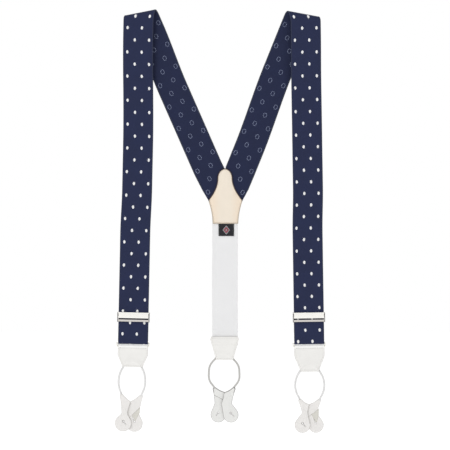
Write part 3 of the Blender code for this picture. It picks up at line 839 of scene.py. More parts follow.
def arc(centre, radius, start, end, steps):
    turns = [start + (end - start) * i / steps for i in range(steps + 1)]
    return [(centre[0] + radius * math.cos(a), centre[1] + radius * math.sin(a)) for a in turns]


# ---------------------------------------------------------------- straps


def flat_axis(joint):
    axis = JOINTS[joint]["axis"]
    return np.array([axis[0], axis[2]], float)


def place_of(joint):
    return np.array(JOINTS[joint]["pos_m"])


class Strap:
    """One shoulder strap as it lies.

    It goes up from the yoke, over the fold, down the front, round the wire and up behind. s is 0 at the fold.
    """

    def __init__(self, side):
        self.side = side
        fold = JOINTS[f"{side}_shoulder_fold"]
        low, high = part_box(f"{side}_strap_rear")
        self.web_y = (low.y + high.y) / 2
        self.axis_y = fold["pos_m"][1]
        self.radius = self.web_y - self.axis_y
        self.front_y = self.axis_y - self.radius
        self.centre = np.array([fold["pos_m"][0], fold["pos_m"][2]])
        self.crease = -flat_axis(f"{side}_shoulder_fold")
        self.over = np.array([-self.crease[1], self.crease[0]])
        self.up = flat_axis(f"{side}_end_slide")
        self.right = np.array([self.up[1], -self.up[0]])
        self.along = self.mirrored(-self.up)
        self.across = self.mirrored(self.right)
        self.arc_length = math.pi * self.radius
        self.front_start = self.arc_length / (self.along @ self.over)
        self.origin = self.centre + self.front_start * (self.along @ self.crease) * self.crease
        tab = JOINTS[f"{side}_tab_swing"]["pos_m"]
        self.wrap_radius = tab[1] - self.front_y
        self.bar_drop = (self.origin - np.array([tab[0], tab[2]])) @ self.up - LOOP_BAR_SPACING
        self.bar_s = self.front_start + self.bar_drop
        self.hook_radius = 2 * self.wrap_radius - REAR_BAR_MIDDLE
        self.tail_s = self.bar_s + math.pi * self.wrap_radius
        self.hook_s = self.tail_s + HOOK_HEIGHT
        self.end_s = self.hook_s + math.pi * self.hook_radius + HOOK_TUCK
        self.yoke_s = -self.centre[1] / self.along[1]

    def mirrored(self, vector):
        """A direction on the front run as it is on the rear run, before the strap is folded over."""
        return vector - 2 * (vector @ self.over) * self.over

    def slack(self, u, s):
        """How far the webbing stands off its flat line, where nothing holds it."""
        rear = plateau(s, (self.yoke_s + 45 * MM, self.yoke_s + 90 * MM), (-50 * MM, -12 * MM))
        front = plateau(s, (45 * MM, 90 * MM), (self.bar_s - 140 * MM, self.bar_s - 90 * MM))
        swell = 0.45 * MM * np.sin(s / (21 * MM)) + 0.3 * MM * np.sin(s / (11.5 * MM) + 1.0)
        return (rear + front) * (swell + 0.35 * MM * (2 * u / WEB_WIDTH) * np.sin(s / (16 * MM) + 0.6))

    def drift(self, s):
        """How far to the right of its straight line the webbing lies, where nothing holds it."""
        style = SIDES[self.side]

        def run(name, past):
            near, far = style[f"{name}_drift"]
            return near + (far - near) * smooth_step(past, *style[f"{name}_change"])

        sewn = 1 - smooth_step(s, self.yoke_s + 16 * MM, self.yoke_s + 48 * MM)
        gripped = smooth_step(s, self.bar_s - LOOSE_ABOVE_BAR, self.bar_s - ADJUSTER_REACH)
        over = smooth_step(s, -6 * MM, self.front_start + 6 * MM)
        rear = run("rear", -s) * (1 - sewn)
        front = run("front", s - self.front_start) * (1 - gripped)
        return rear * (1 - over) + front * over

    def point(self, s, u=0.0):
        """Where the middle of the webbing lies at one place."""
        return self.lay(np.array([u]), np.array([s]), np.zeros(1))[0]

    def lay(self, u, s, h):
        """Where the points (u, s, h) of the webbing lie in the world."""
        h = h + self.slack(u, s)
        u = u + self.drift(s)
        past = s * (self.along @ self.over) + u * (self.across @ self.over)
        beside = s * (self.along @ self.crease) + u * (self.across @ self.crease)
        turn = np.clip(past / self.radius, 0, math.pi)
        reach = self.radius + h
        lift = np.minimum(past, 0) - np.maximum(past - self.arc_length, 0) + reach * np.sin(turn)
        y = self.axis_y + reach * np.cos(turn)
        flat = self.centre + beside[:, None] * self.crease + lift[:, None] * self.over
        below = s - self.bar_s
        if (below > 0).any():
            wrap = np.clip(below / self.wrap_radius, 0, math.pi)
            rise = np.clip(s - self.tail_s, 0, HOOK_HEIGHT)
            wrap_y = self.wrap_radius - (self.wrap_radius + h) * np.cos(wrap)
            wrap_z = rise - (self.wrap_radius + h) * np.sin(wrap)
            hook = np.clip((s - self.hook_s) / self.hook_radius, 0, math.pi)
            tuck = np.maximum(s - self.hook_s - math.pi * self.hook_radius, 0)
            hooked = s > self.hook_s
            wrap_y = np.where(hooked, REAR_BAR_MIDDLE + (self.hook_radius + h) * np.cos(hook), wrap_y)
            wrap_z = np.where(hooked, HOOK_HEIGHT + (self.hook_radius + h) * np.sin(hook) - tuck, wrap_z)
            low = self.origin + u[:, None] * self.right + (wrap_z - self.bar_drop)[:, None] * self.up
            flat = np.where((below > 0)[:, None], low, flat)
            y = np.where(below > 0, self.front_y + wrap_y, y)
        return np.stack([flat[:, 0], y, flat[:, 1]], 1)

    def rows(self, first, last):
        """The rows of ovals between two places: where each is, and its first oval's u."""
        style = SIDES[self.side]
        start = self.front_start + style["first_row"]
        found = []
        for k in ROWS:
            place = start + (k * style["pitch"] - k * k * ROW_SHRINK if k >= 0 else k * style["rear_pitch"])
            if first <= place < last:
                found.append((place, ROW_LEFT_OVAL[(k + style["first_kind"]) % 2] + style["shift"]))
        return found


def webbing_relief(u):
    """The selvedge is a little thicker, with a fine groove beside it."""
    from_edge = WEB_WIDTH / 2 - abs(u)
    if from_edge < 1.5 * MM:
        return 0.07 * MM
    return -0.09 * MM if from_edge < 2.0 * MM else 0.0


def webbing_across():
    """The places across the webbing's face that have points, close together at the selvedges."""
    border = [WEB_WIDTH / 2 - from_edge * MM for from_edge in (0.7, 1.1, 1.4, 1.7, 2.1)]
    middle = np.linspace(-14.5 * MM, 14.5 * MM, 9)
    return sorted([*border, *[-u for u in border], *middle])


def oval(shape, lay, u, s):
    """A woven oval: floats side by side, the middle ones longest."""
    count = round(2 * OVAL_HALF[1] / FLOAT_PITCH)
    for i in range(count):
        t = (i - (count - 1) / 2) / (count / 2)
        wander = 0.06 * MM * math.sin(7.0 * i + 900 * s)
        half = OVAL_HALF[0] * math.sqrt(1 - t * t * 0.94)
        place = (u + wander, s + t * OVAL_HALF[1])
        thread(shape, lay, place, (1, 0), half, OVAL_YARN, WEB_THICKNESS / 2, 1)


def mark(shape, lay, u, s):
    """What an oval leaves on the reverse: eight short floats in a ring."""
    base = -WEB_THICKNESS / 2
    for side in (-1, 1):
        for step in (-1, 1):
            beside = (u + side * 2.0 * MM, s + step * 1.0 * MM)
            thread(shape, lay, beside, (0, 1), 0.78 * MM, MARK_ALONG_YARN, base, 2)
            above = (u + step * 0.85 * MM, s + side * 2.6 * MM)
            thread(shape, lay, above, (1, 0), 0.68 * MM, MARK_ACROSS_YARN, base, 2)


def selvedge(shape, lay, first, last):
    """Binding floats down both edges of the reverse."""
    base = -WEB_THICKNESS / 2 - 0.05 * MM
    for i in range(int((last - first) / SELVEDGE_PITCH)):
        for side in (-1, 1):
            place = (side * (WEB_WIDTH / 2 - 0.75 * MM), first + (i + 0.5) * SELVEDGE_PITCH)
            thread(shape, lay, place, (0, 1), 0.95 * MM, SELVEDGE_YARN, base, 3)


def outside_yoke(strap, u, s, margin=0.0):
    """True where the strap isn't between the yoke's leathers."""
    x, _, z = strap.point(s, u)
    half = yoke_half_width(z) if z < YOKE_TIP else 0.0
    inwards = -1 if strap.side == "left" else 1
    return z > WEB_CUT_LEVEL and x * inwards > half - margin


def strap_piece(strap, part, first, last, stations):
    """One run of the strap, with its ovals, reverse marks and selvedge floats."""
    shape = Shape()
    across = webbing_across()
    section = strip_section(WEB_WIDTH, WEB_THICKNESS, across, webbing_relief)
    ribbon(shape, strap.lay, stations, section, WEB_THICKNESS / 2)
    if part == "rear":
        cut_for_yoke(shape, strap)
    for s, left in strap.rows(first, last):
        for u in (left, left + OVAL_REPEAT):
            if part == "rear" and not outside_yoke(strap, u, s, 3 * MM):
                continue
            oval(shape, strap.lay, u, s)
            if part != "loop":
                mark(shape, strap.lay, u, s)
    selvedge(shape, strap.lay, strap.yoke_s + 16 * MM if part == "rear" else first, last)
    node = f"{strap.side}_strap_{part}"
    finishes = [NAVY, OVAL_THREAD, MARK_THREAD, SELVEDGE_THREAD]
    return shape.build(f"{node}_webbing", finishes, node)


def cut_for_yoke(shape, strap):
    """Cuts the rear run beside the other strap, level inside the yoke, and aslant to the yoke's corner."""
    outward_sign = -1 if strap.side == "left" else 1
    corner = np.array([outward_sign * (YOKE_CORNER_HALF + 0.1 * MM), 0, 0])
    slope = strap.point(strap.yoke_s + 22 * MM, outward_sign * WEB_WIDTH / 2) - corner
    aslant = (outward_sign * slope[2], 0, -outward_sign * slope[0])
    mesh = shape.mesh("cut")
    net = bmesh.new()
    net.from_mesh(mesh)
    beside_middle = ((outward_sign * 0.15 * MM, 0, 0), (-outward_sign, 0, 0))
    level = ((0, 0, WEB_CUT_LEVEL), (0, 0, -1))
    for point, normal in (beside_middle, level, (corner, aslant)):
        geometry = net.verts[:] + net.edges[:] + net.faces[:]
        plane = {"plane_co": point, "plane_no": normal, "clear_outer": True}
        bmesh.ops.bisect_plane(net, geom=geometry, dist=1e-7, **plane)
        bmesh.ops.holes_fill(net, edges=[edge for edge in net.edges if edge.is_boundary], sides=0)
    net.verts.index_update()
    layer = net.verts.layers.float_vector["place"]
    points = np.array([vertex.co for vertex in net.verts])
    places = np.array([vertex[layer] for vertex in net.verts])
    faces = [tuple(vertex.index for vertex in face.verts) for face in net.faces]
    net.free()
    bpy.data.meshes.remove(mesh)
    shape.__init__()
    shape.add(points, places, faces)


def build_strap(side):
    strap = Strap(side)
    near, far = -14 * MM, 26 * MM
    rear_start = strap.yoke_s - 16 * MM

    def steps(first, last, size):
        return np.linspace(first, last, max(2, round((last - first) / size) + 1))

    rear = strap_piece(strap, "rear", rear_start, near, steps(rear_start, near, 3.5 * MM))
    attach(rear, "root")

    shoulder = strap_piece(strap, "shoulder", near, far, steps(near, far, 0.7 * MM))
    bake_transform(shoulder)

    front = strap_piece(strap, "front", far, strap.bar_s, steps(far, strap.bar_s, 3.5 * MM))
    strap.point(60 * MM)
    strap.point(strap.bar_s)
    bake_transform(front)

    wrap = steps(strap.bar_s, strap.tail_s, 0.45 * MM)
    rise = steps(strap.tail_s, strap.hook_s, 3 * MM)[1:]
    hook = steps(strap.hook_s, strap.end_s, 0.4 * MM)[1:]
    loop = strap_piece(strap, "loop", strap.bar_s, strap.hook_s, np.concatenate([wrap, rise, hook]))
    low, high = strap.point(strap.tail_s), strap.point(strap.hook_s - 6 * MM)
    high[1] = low[1]
    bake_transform(loop)
    return strap


# ---------------------------------------------------------------- yoke, elastic, label


yoke_low, yoke_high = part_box("yoke_lining")
YOKE_TIP, YOKE_BOTTOM, YOKE_CORNER_HALF = yoke_high.z, yoke_low.z, yoke_high.x
WEB_CUT_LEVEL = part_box("left_strap_rear")[0].z


def yoke_half_width(z):
    """Half the yoke's width at a height z."""
    if z > YOKE_DOME_FOOT:
        rise = (z - YOKE_DOME_FOOT) / (YOKE_TIP - YOKE_DOME_FOOT)
        return YOKE_DOME_HALF * math.sqrt(max(0.0, 1 - rise * rise))
    if z > 0:
        fall = (YOKE_DOME_FOOT - z) / YOKE_DOME_FOOT
        return YOKE_DOME_HALF + (YOKE_CORNER_HALF - YOKE_DOME_HALF) * fall**YOKE_FLANK_POWER
    left = 1 - z / YOKE_BOTTOM
    return YOKE_BOTTOM_HALF + (YOKE_CORNER_HALF - YOKE_BOTTOM_HALF) * left**YOKE_SKIRT_POWER


def yoke_outline():
    rise = YOKE_TIP - YOKE_DOME_FOOT
    dome = [YOKE_DOME_FOOT + rise * math.sin(math.radians(angle)) for angle in range(82, 0, -8)]
    flank = [YOKE_DOME_FOOT * (1 - i / 24) for i in range(25)]
    skirt = [YOKE_BOTTOM * i / 16 for i in range(1, 17)]
    right = [(yoke_half_width(z), z) for z in dome + flank + skirt]
    outline = [(0.0, YOKE_TIP), *right, *[(-x, z) for x, z in reversed(right)]]
    return [(x + YOKE_DOME_SHIFT * min(1.0, max(0.0, z / YOKE_DOME_FOOT)), z) for x, z in outline]


def flat_lay(box, facing, swell=None):
    """Lays a sheet in the middle of a box. facing is -1 if h points to the front. swell lifts it along h."""

    def lay(x, z, h):
        lifted = h + (swell(x, z) if swell else 0.0)
        return np.stack([x, (box[0].y + box[1].y) / 2 + facing * lifted, z], 1)

    return lay


def build_yoke():
    outline = yoke_outline()
    fine = refine(outline, 0.9 * MM)

    def swell(x, z):
        """The leather rises over the webbing in it, with soft creases at its corners and near its foot."""
        rim = rim_distance(x, z, fine)
        rise = 0.35 * MM * smooth_step(rim, 1.5 * MM, 7 * MM)
        creases = sum(hump(z - level, 1.1 * MM) for level in (-1.5 * MM, -24 * MM))
        ripple = 0.06 * MM * np.sin(x / (3.1 * MM) + 2 * np.sin(z / (9 * MM)))
        return rise * (1 - 0.3 * creases) + ripple * smooth_step(rim, 2 * MM, 6 * MM)

    for name, finish, thread_kind, facing, lift, slot in (
        ("yoke_lining", CREAM, CREAM_THREAD, -1, swell, "cream_leather"),
        ("yoke_outer", YOKE_WHITE, WHITE_THREAD, 1, None, "white_leather"),
    ):
        lay = flat_lay(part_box(name), facing, lift)
        shape = Shape()
        sheet(shape, lay, outline, LEATHER, groove=0.14 * MM)
        stitches(shape, lay, inset(fine, STITCH_INSET), LEATHER / 2, 1)
        shape.build(f"{name}_leather", [finish, thread_kind], name, "root")


def build_elastic():
    low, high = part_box("rear_elastic")
    middle, y = (low.x + high.x) / 2, (low.y + high.y) / 2
    half, thickness = (high.x - low.x) / 2, high.y - low.y
    free_top = 50 * MM

    def relief(u):
        """Close ribs, with deeper grooves beside both edges."""
        grooves = sum(hump(half - abs(u) - place * MM, 0.35 * MM) for place in (1.6, 3.4, 4.6))
        return 0.05 * MM * math.cos(2 * math.pi * u / (1.3 * MM)) - 0.16 * MM * grooves

    def lay(u, s, h):
        free = plateau(s, (free_top, free_top + 30 * MM), (135 * MM, 165 * MM))
        swell = 0.3 * MM * np.sin(s / (13 * MM)) * free
        wander = 0.25 * MM * np.sin(s / (24 * MM)) * free
        return np.stack([middle + u + wander, y - h - swell, -s], 1)

    shape = Shape()
    across = np.linspace(0.7 * MM - half, half - 0.7 * MM, 97)
    section = strip_section(2 * half, thickness, across, relief)
    ribbon(shape, lay, np.linspace(-high.z, -low.z, 80), section, thickness / 2)
    strip = shape.build("rear_elastic_band", [ELASTIC], "rear_elastic", smooth_angle=70)
    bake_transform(strip)


def build_label():
    """The woven label: a black ground with plain lozenges, one inside the other, woven row by row."""
    low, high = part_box("woven_label")
    middle_x, middle_y, middle_z = ((a + b) / 2 for a, b in zip(low, high))
    half_width, half_thickness = (high.x - low.x) / 2, (high.y - low.y) / 2

    def lay(x, z, h):
        curl = 0.25 * MM * smooth_step(np.abs(x - middle_x), 0.6 * half_width, half_width) * (z < middle_z)
        return np.stack([x, middle_y - h - curl, z], 1)

    shape = Shape()
    outline = [(low.x, low.z), (high.x, low.z), (high.x, high.z), (low.x, high.z)]
    sheet(shape, lay, outline, 2 * half_thickness, cell=1.2 * MM)
    count = int(LOZENGE_HALF[1] / LOZENGE_PITCH)
    for z in (i * LOZENGE_PITCH for i in range(-count, count + 1)):
        taper = LOZENGE_HALF[0] * abs(z) / LOZENGE_HALF[1]
        for outer, inner, slot in LOZENGES:
            end = LOZENGE_HALF[0] * outer - taper
            start = max(0.0, LOZENGE_HALF[0] * inner - taper)
            if end <= 0.25 * MM:
                continue
            for a, b in [(-end, -start), (start, end)] if start else [(-end, end)]:
                place = (middle_x + (a + b) / 2, middle_z + z)
                reach = max(0.3 * MM, (b - a) / 2)
                thread(shape, lay, place, (1, 0), reach, LABEL_YARN, half_thickness, slot)
    for side in (-1, 1):
        x = middle_x + side * (half_width - 1.0 * MM)
        path = [(x, low.z + 0.9 * MM), (x, high.z - 0.9 * MM)]
        stitches(shape, lay, path, half_thickness, 3, closed=False)
    finishes = [LABEL, LABEL_RED, LABEL_GREY, SELVEDGE_THREAD]
    shape.build("woven_label_cloth", finishes, "woven_label", "root")


# ---------------------------------------------------------------- ends


def tab_half_width(name, drop):
    """Half a tab's width at a drop below its top edge."""
    end = ENDS[name]
    top, half, foot = end["tab_top_half"], end["tab_half"], end["tab_foot_half"]
    if drop <= end["tab_straight"]:
        return top + (half - top) * drop / end["tab_straight"]
    share = (drop - end["tab_straight"]) / (end["tab_height"] - end["tab_straight"])
    eased = share - TAB_FLANK_EASE * math.sin(2 * math.pi * share)
    return half + (foot - half) * min(1.0, eased)


class End:
    """The places of one button end: its tab, its cord's loop and its ears."""

    def __init__(self, name):
        self.name = name
        self.size = ENDS[name]
        self.pivots = {label: place_of(f"{name}_ear_{label}_spread") for label in ("front", "back")}
        left, right = sorted(self.pivots.values(), key=lambda point: point[0])
        self.pivot_half = np.linalg.norm(right - left) / 2
        self.right = (right - left) / (2 * self.pivot_half)
        self.up = np.cross(self.right, Y_AXIS)
        self.runner = place_of(f"{name}_runner_swing")
        x, z = (0.0, 1.0) if name == "rear" else flat_axis(f"{name}_end_slide")
        self.tab_up = np.array([x, 0, z])
        self.tab_right = np.array([z, 0, -x])

    def loop_shape(self):
        """The open loop's height, its half width at the ears and its bow, then the arc inside the tab: its
        radius, the height of its ends and their half angle."""
        size = self.size
        height = CORD_LOOP_HEIGHT - EAR_COLLAR_RADIUS - CORD_STOP_RAISE
        stop_half = self.pivot_half + CORD_STOP_OUTSIDE_PIVOT
        bow = size["loop_half"] - (size["exit_half"] + stop_half) / 2
        flare = math.atan((bow * math.pi + stop_half - size["exit_half"]) / height)
        radius = size["exit_half"] / math.cos(flare)
        return height, stop_half, bow, radius, radius * math.sin(flare), math.pi / 2 - flare

    def cord_path(self):
        """The cord from the left ear, through the tab, to the right ear, in the world."""
        height, stop_half, bow, radius, exit_height, half_angle = self.loop_shape()
        exit_half = self.size["exit_half"]
        roundness = 0.10 if self.name == "rear" else 0.04
        right = arc((0, 0), radius, math.pi / 2, math.pi / 2 - half_angle, 12)
        for i in range(1, 31):
            t = i / 30
            swell = (math.sin(math.pi * t) + roundness * math.sin(3 * math.pi * t)) / (1 - roundness)
            right.append((exit_half + (stop_half - exit_half) * t + bow * swell, exit_height - height * t))
        right.append((self.pivot_half, exit_height - CORD_LOOP_HEIGHT + CORD_STOP_RAISE))
        flat = [(-x, z) for x, z in reversed(right[1:])] + right
        return [self.runner + x * self.right + z * self.up for x, z in flat]

    def tunnel(self, x, z):
        """How strongly the cord presses on the tab at (x, z), measured from the runner's centre."""
        radius = self.loop_shape()[3]
        return hump(np.hypot(x, z) - radius, 1.7 * MM) * (z > -2 * MM)


def build_cord(end):
    shape = Shape()
    tube(shape, end.cord_path(), CORD_RADIUS, seam=0.16)
    name, finish = end.name, REAR_CORD if end.name == "rear" else CORD_WHITE
    shape.build(f"{name}_rolled_cord", [finish], f"{name}_cord", f"{name}_runner", 70)


def build_front_tab(end):
    """One strip of leather folded over the loop's lower bar, sewn below the fold and down both sides."""
    name, size = end.name, end.size
    axis = place_of(f"{name}_tab_swing")
    top = TAB_RADIUS + LEATHER / 2
    quarter = math.pi * TAB_RADIUS / 2
    length = quarter + size["tab_height"] - top
    runner_z = (end.runner - axis) @ end.tab_up

    def lay(x, s, h):
        """s is 0 on top of the fold, negative on the front and positive behind."""
        turn = np.clip(s / TAB_RADIUS, -math.pi / 2, math.pi / 2)
        hang = np.maximum(np.abs(s) - quarter, 0)
        press = 0.55 * MM * end.tunnel(x, -hang - runner_z) * (hang > 6 * MM)
        pinch = -0.8 * MM * hump(hang - ROLL_DROP, 1.1 * MM) * (hang > 0)
        opened = 1 - 0.8 * smooth_step(hang, 14 * MM, 20 * MM)
        settle = -0.35 * MM * smooth_step(hang, 2 * MM, 7 * MM) * opened
        reach = TAB_RADIUS + h + press + pinch + settle
        y = reach * np.sin(turn)
        z = (TAB_RADIUS + h) * np.cos(turn) * (hang <= 0) - hang
        return axis + x[:, None] * end.tab_right + z[:, None] * end.tab_up + y[:, None] * Y_AXIS

    def half_at(s):
        return tab_half_width(name, top + max(0.0, abs(s) - quarter))

    steps = np.linspace(0, length, 40)
    right = [(half_at(s), -s) for s in reversed(steps)] + [(half_at(s), s) for s in steps[1:]]
    outline = right + [(-x, s) for x, s in reversed(right)]
    shape = Shape()
    bends = np.linspace(-quarter, quarter, 13)
    pinches = [side * (quarter + ROLL_DROP + step * 0.7 * MM) for side in (-1, 1) for step in range(-3, 4)]
    sheet(shape, lay, outline, LEATHER, groove=0.12 * MM, z_cuts=[*bends, *pinches])
    for side in (-1, 1):
        across = side * (quarter + ROLL_DROP)
        half = half_at(across) - 1.6 * MM
        stitches(shape, lay, [(-half, across), (half, across)], LEATHER / 2 + 0.1 * MM, 2, closed=False)
        down = np.linspace(quarter + ROLL_DROP + 1.6 * MM, length - STITCH_INSET, 16)
        path = [(half_at(s) - STITCH_INSET, side * s) for s in down]
        path += [(-x, s) for x, s in reversed(path)]
        stitches(shape, lay, path, LEATHER / 2, 1, closed=False)
    finishes = [WHITE, WHITE_THREAD, GREY_THREAD]
    shape.build(f"{name}_tab_leather", finishes, f"{name}_tab", f"{name}_tab")


def build_rear_tab(end):
    """Two leathers with the elastic's end and the cord between them."""
    straight, height = end.size["tab_straight"], end.size["tab_height"]
    drops = np.concatenate([np.linspace(0, straight, 6), np.linspace(straight, height, 26)[1:]])
    seam_drop = 10.5 * MM
    seam_half = tab_half_width("rear", seam_drop) - 2.6 * MM
    for node, facing in (("rear_tab_front", -1), ("rear_tab_back", 1)):
        low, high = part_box(node)
        centre, top = (low + high) / 2, high.z

        def lay(x, z, h, facing=facing, centre=centre, top=top):
            drop = top - z
            press = 0.5 * MM * end.tunnel(centre.x + x - end.runner[0], z - end.runner[2]) * (drop > 8 * MM)
            settle = -0.4 * MM * (1 - smooth_step(drop, 3 * MM, 9 * MM))
            hollow = -0.3 * MM * plateau(drop, (5 * MM, 10 * MM), (13 * MM, 19 * MM))
            return np.stack([centre.x + x, centre.y + facing * (h + press + settle + hollow), z], 1)

        right = [(tab_half_width("rear", drop), top - drop) for drop in drops]
        outline = right + [(-x, z) for x, z in reversed(right)]
        shape = Shape()
        sheet(shape, lay, outline, LEATHER, groove=0.12 * MM)
        stitches(shape, lay, inset(refine(outline, 0.9 * MM), STITCH_INSET), LEATHER / 2, 1)
        seam = [(-seam_half, top - seam_drop), (seam_half, top - seam_drop)]
        stitches(shape, lay, seam, LEATHER / 2, 1, closed=False)
        shape.build(f"{node}_leather", [WHITE, WHITE_THREAD], node, "rear_end")


def softened(outline, step, reach):
    """The outline in even steps, with its corners rounded over reach steps on either side."""
    points = np.array([place for place, _ in evenly(outline, step)])
    points = sum(np.roll(points, i, axis=0) for i in range(-reach, reach + 1)) / (2 * reach + 1)
    return [tuple(point) for point in points]


def sagging(start, end, sag):
    """Seven points from start to end, moved by up to the vector sag in the middle."""
    shares = np.arange(1, 8)[:, None] / 8
    return list(start + (end - start) * shares + sag * np.sin(math.pi * shares))


def ear_outline(end, label, inward, blob):
    """An ear's outline from its pivot, as (x, z) points."""
    size = end.size
    radius = size["blob_radius"]
    outer = np.array([inward * size["waist_outer"][label], -size["waist_drop"]])
    inner = np.array([inward * size["waist_inner"][label], -size["waist_drop"]])

    def tangent_angle(waist, turn):
        dx, dz = waist - blob
        return math.atan2(dz, dx) + turn * math.acos(min(1.0, radius / math.hypot(dx, dz)))

    first = tangent_angle(inner, -inward)
    last = tangent_angle(outer, inward)
    if inward * (last - first) > 0:
        last -= inward * 2 * math.pi
    collar = [
        np.array([inward * x, z])
        for x, z in arc((0, 0), EAR_COLLAR_RADIUS, math.radians(190), math.radians(60), 10)
    ]
    notch = np.array([inward * (end.pivot_half + EAR_NOTCH_PAST[label]), -size["notch_drop"]])
    foot = np.array([inward * -EAR_COLLAR_RADIUS, 0.0])
    outline = [
        *collar,
        *sagging(collar[-1], notch, np.array([0, -0.9 * MM])),
        notch,
        *sagging(notch, inner, np.array([inward * -0.5 * MM if label == "front" else 0, 0])),
        inner,
        *arc(blob, radius, first, last, 40),
        outer,
        *sagging(outer, foot, np.array([inward * 0.5 * MM, 0])),
    ]
    return softened(outline, 0.5 * MM, 3)


def clipped(outline, point, normal):
    """The part of an outline on the side of a line that normal points to."""
    outline = np.array(outline)
    reach = (outline - point) @ normal
    kept = []
    for first, second, a, b in zip(outline, np.roll(outline, -1, axis=0), reach, np.roll(reach, -1)):
        if a >= 0:
            kept.append(first)
        if a * b < 0:
            kept.append(first + (second - first) * a / (a - b))
    return kept


def heading(angle):
    return np.array([math.cos(angle), math.sin(angle)])


def keyhole(centre, angle, slit_length):
    """A button hole: a round hole with a slit running from it."""
    slit_half = 0.25 * MM
    spread = math.asin(slit_half / HOLE_RADIUS)
    round_part = arc(centre, HOLE_RADIUS, angle + spread, angle + 2 * math.pi - spread, 18)
    along, beside = heading(angle), heading(angle + math.pi / 2)
    return round_part + [centre + slit_length * along + side * slit_half * beside for side in (-1, 1)]


def build_ear(end, label):
    """One leather whose top is turned over the cord and sewn down as a flap, with a button hole."""
    hand = end.size["front_ear"] * (1 if label == "front" else -1)
    inward = -hand
    facing = -1 if label == "front" else 1
    lined = label == "back" and end.name != "rear"
    beside = end.size["blob_spacing"] / 2 - end.pivot_half
    blob = np.array([end.size["blob_shift"] + hand * beside, -end.size["blob_drop"]])
    outline = ear_outline(end, label, inward, blob)

    def settle(x, z):
        """The leather cups round its button hole, rolls over the cord and ripples a little."""
        off = np.hypot(x - blob[0], z - blob[1])
        cup = -0.18 * MM * smooth_step(off, 3 * MM, 10 * MM) * (z < blob[1] + 12 * MM)
        ripple = 0.12 * MM * np.sin(x / (3.3 * MM) + z / (4.6 * MM) + 2 * hand)
        collar = 0.5 * MM * hump(np.hypot(x, z), 2.6 * MM)
        return collar + ripple * smooth_step(-z, 2 * MM, 8 * MM) + cup

    def place(x, z, y):
        flat = x[:, None] * end.right + z[:, None] * end.up
        return end.pivots[label] + flat + facing * y[:, None] * Y_AXIS

    def lay(x, z, h):
        return place(x, z, EAR_MAIN_MIDDLE + h + settle(x, z))

    def flap_lay(x, z, h):
        return place(x, z, EAR_FLAP_MIDDLE - h - 1.2 * MM * hump(np.hypot(x, z), 2.3 * MM))

    def lining_lay(x, z, h):
        return lay(x, z, -h - EAR_MAIN / 2 - 0.05 * MM)

    hole = blob + (0, HOLE_RAISE)
    slit = math.radians(113 if lined else -48)
    if hand < 0 and label == "back":
        slit = math.pi - slit
    slit_length = 6.5 * MM if lined else 4.2 * MM
    shape = Shape()
    sheet(shape, lay, outline, EAR_MAIN, holes=[keyhole(hole, slit, slit_length)], hole_slot=2)

    outer_drop, inner_drop = FLAP_DROP[end.name]
    high_side = np.array([0.0, -outer_drop])
    slope = np.array([inward * end.pivot_half, outer_drop - inner_drop])
    normal = inward * np.array([-slope[1], slope[0]])
    sheet(shape, flap_lay, clipped(outline, high_side, normal), EAR_FLAP)
    # Under the flap's edge lies a thin patch in the suede finish: partly the leather's reverse, partly
    # painted shade.
    if lined:
        raised = np.array([0, 0.8 * MM])
        lining = [high_side + slope * t + raised for t in (0.08, 0.85)]
        lining += [hole + raised, hole + (hand * 1.2 * MM, 1.4 * MM)]
        lining.append(high_side + (inward * 0.9 * MM, -7.5 * MM))
        sheet(shape, lining_lay, lining, 0.2 * MM, slot=3)

    lift = normal * 1.5 * MM / math.hypot(*slope)
    seam = [high_side + slope * t + lift for t in (0.12, 0.78)]
    stitches(shape, flap_lay, seam, EAR_FLAP / 2 - 0.16 * MM, 1, closed=False)
    stitches(shape, lay, seam, EAR_MAIN / 2, 1, closed=False)
    for i in range(HOLE_STITCHES):
        spoke = heading(slit + 2 * math.pi * (i + 0.5) / HOLE_STITCHES)
        centre = hole + spoke * (HOLE_RADIUS + 0.45 * MM)
        thread(shape, lay, centre, spoke, 0.5 * MM, HOLE_YARN, EAR_MAIN / 2, 4)
    for i in range(BAR_STITCHES):
        centre = hole + heading(slit) * (slit_length + 0.7 * MM + 0.42 * MM * i)
        thread(shape, lay, centre, heading(slit + math.pi / 2), 1.0 * MM, BAR_YARN, EAR_MAIN / 2, 1)
    skin = REAR_EAR_WHITE if end.name == "rear" else EAR_WHITE
    node = f"{end.name}_ear_{label}"
    finishes = [skin, WHITE_THREAD, HOLE_SHADE, SUEDE_AND_SHADE, HOLE_THREAD]
    shape.build(f"{node}_leather", finishes, node, node)


# ---------------------------------------------------------------- metal


def build_wire_loop(strap):
    """The bent wire loop."""
    side = strap.side
    half_height = LOOP_BAR_SPACING / 2
    middle = strap.origin - (strap.bar_drop + half_height) * strap.up
    path = []
    for x, z, start in ((1, 1, 0), (-1, 1, 90), (-1, -1, 180), (1, -1, 270)):
        centre = (x * (LOOP_HALF_WIDTH - LOOP_CORNER), z * (half_height - LOOP_CORNER))
        for right, up in arc(centre, LOOP_CORNER, math.radians(start), math.radians(start + 90), 8):
            flat = middle + right * strap.right + up * strap.up
            path.append((flat[0], strap.front_y + strap.wrap_radius, flat[1]))
    shape = Shape()
    tube(shape, path, WIRE_RADIUS, sides=14, closed=True)
    shape.build(f"{side}_bent_wire_loop", [NICKEL], f"{side}_wire_loop", f"{side}_end", 70)


def polish(node, width, finish):
    """Rounds a packed metal part's edges and gives it its finish."""
    obj = frame["nodes"][node]
    weld = obj.modifiers.new("weld", "WELD")
    weld.merge_threshold = 0.002 * MM
    bevel = obj.modifiers.new("edges", "BEVEL")
    bevel.width = width
    bevel.segments = 3
    bevel.limit_method = "ANGLE"
    bevel.angle_limit = math.radians(40)
    obj.data.materials.clear()
    obj.data.materials.append(finish)
    obj.data.shade_smooth()
    obj.modifiers.new("normals", "WEIGHTED_NORMAL").keep_sharp = True


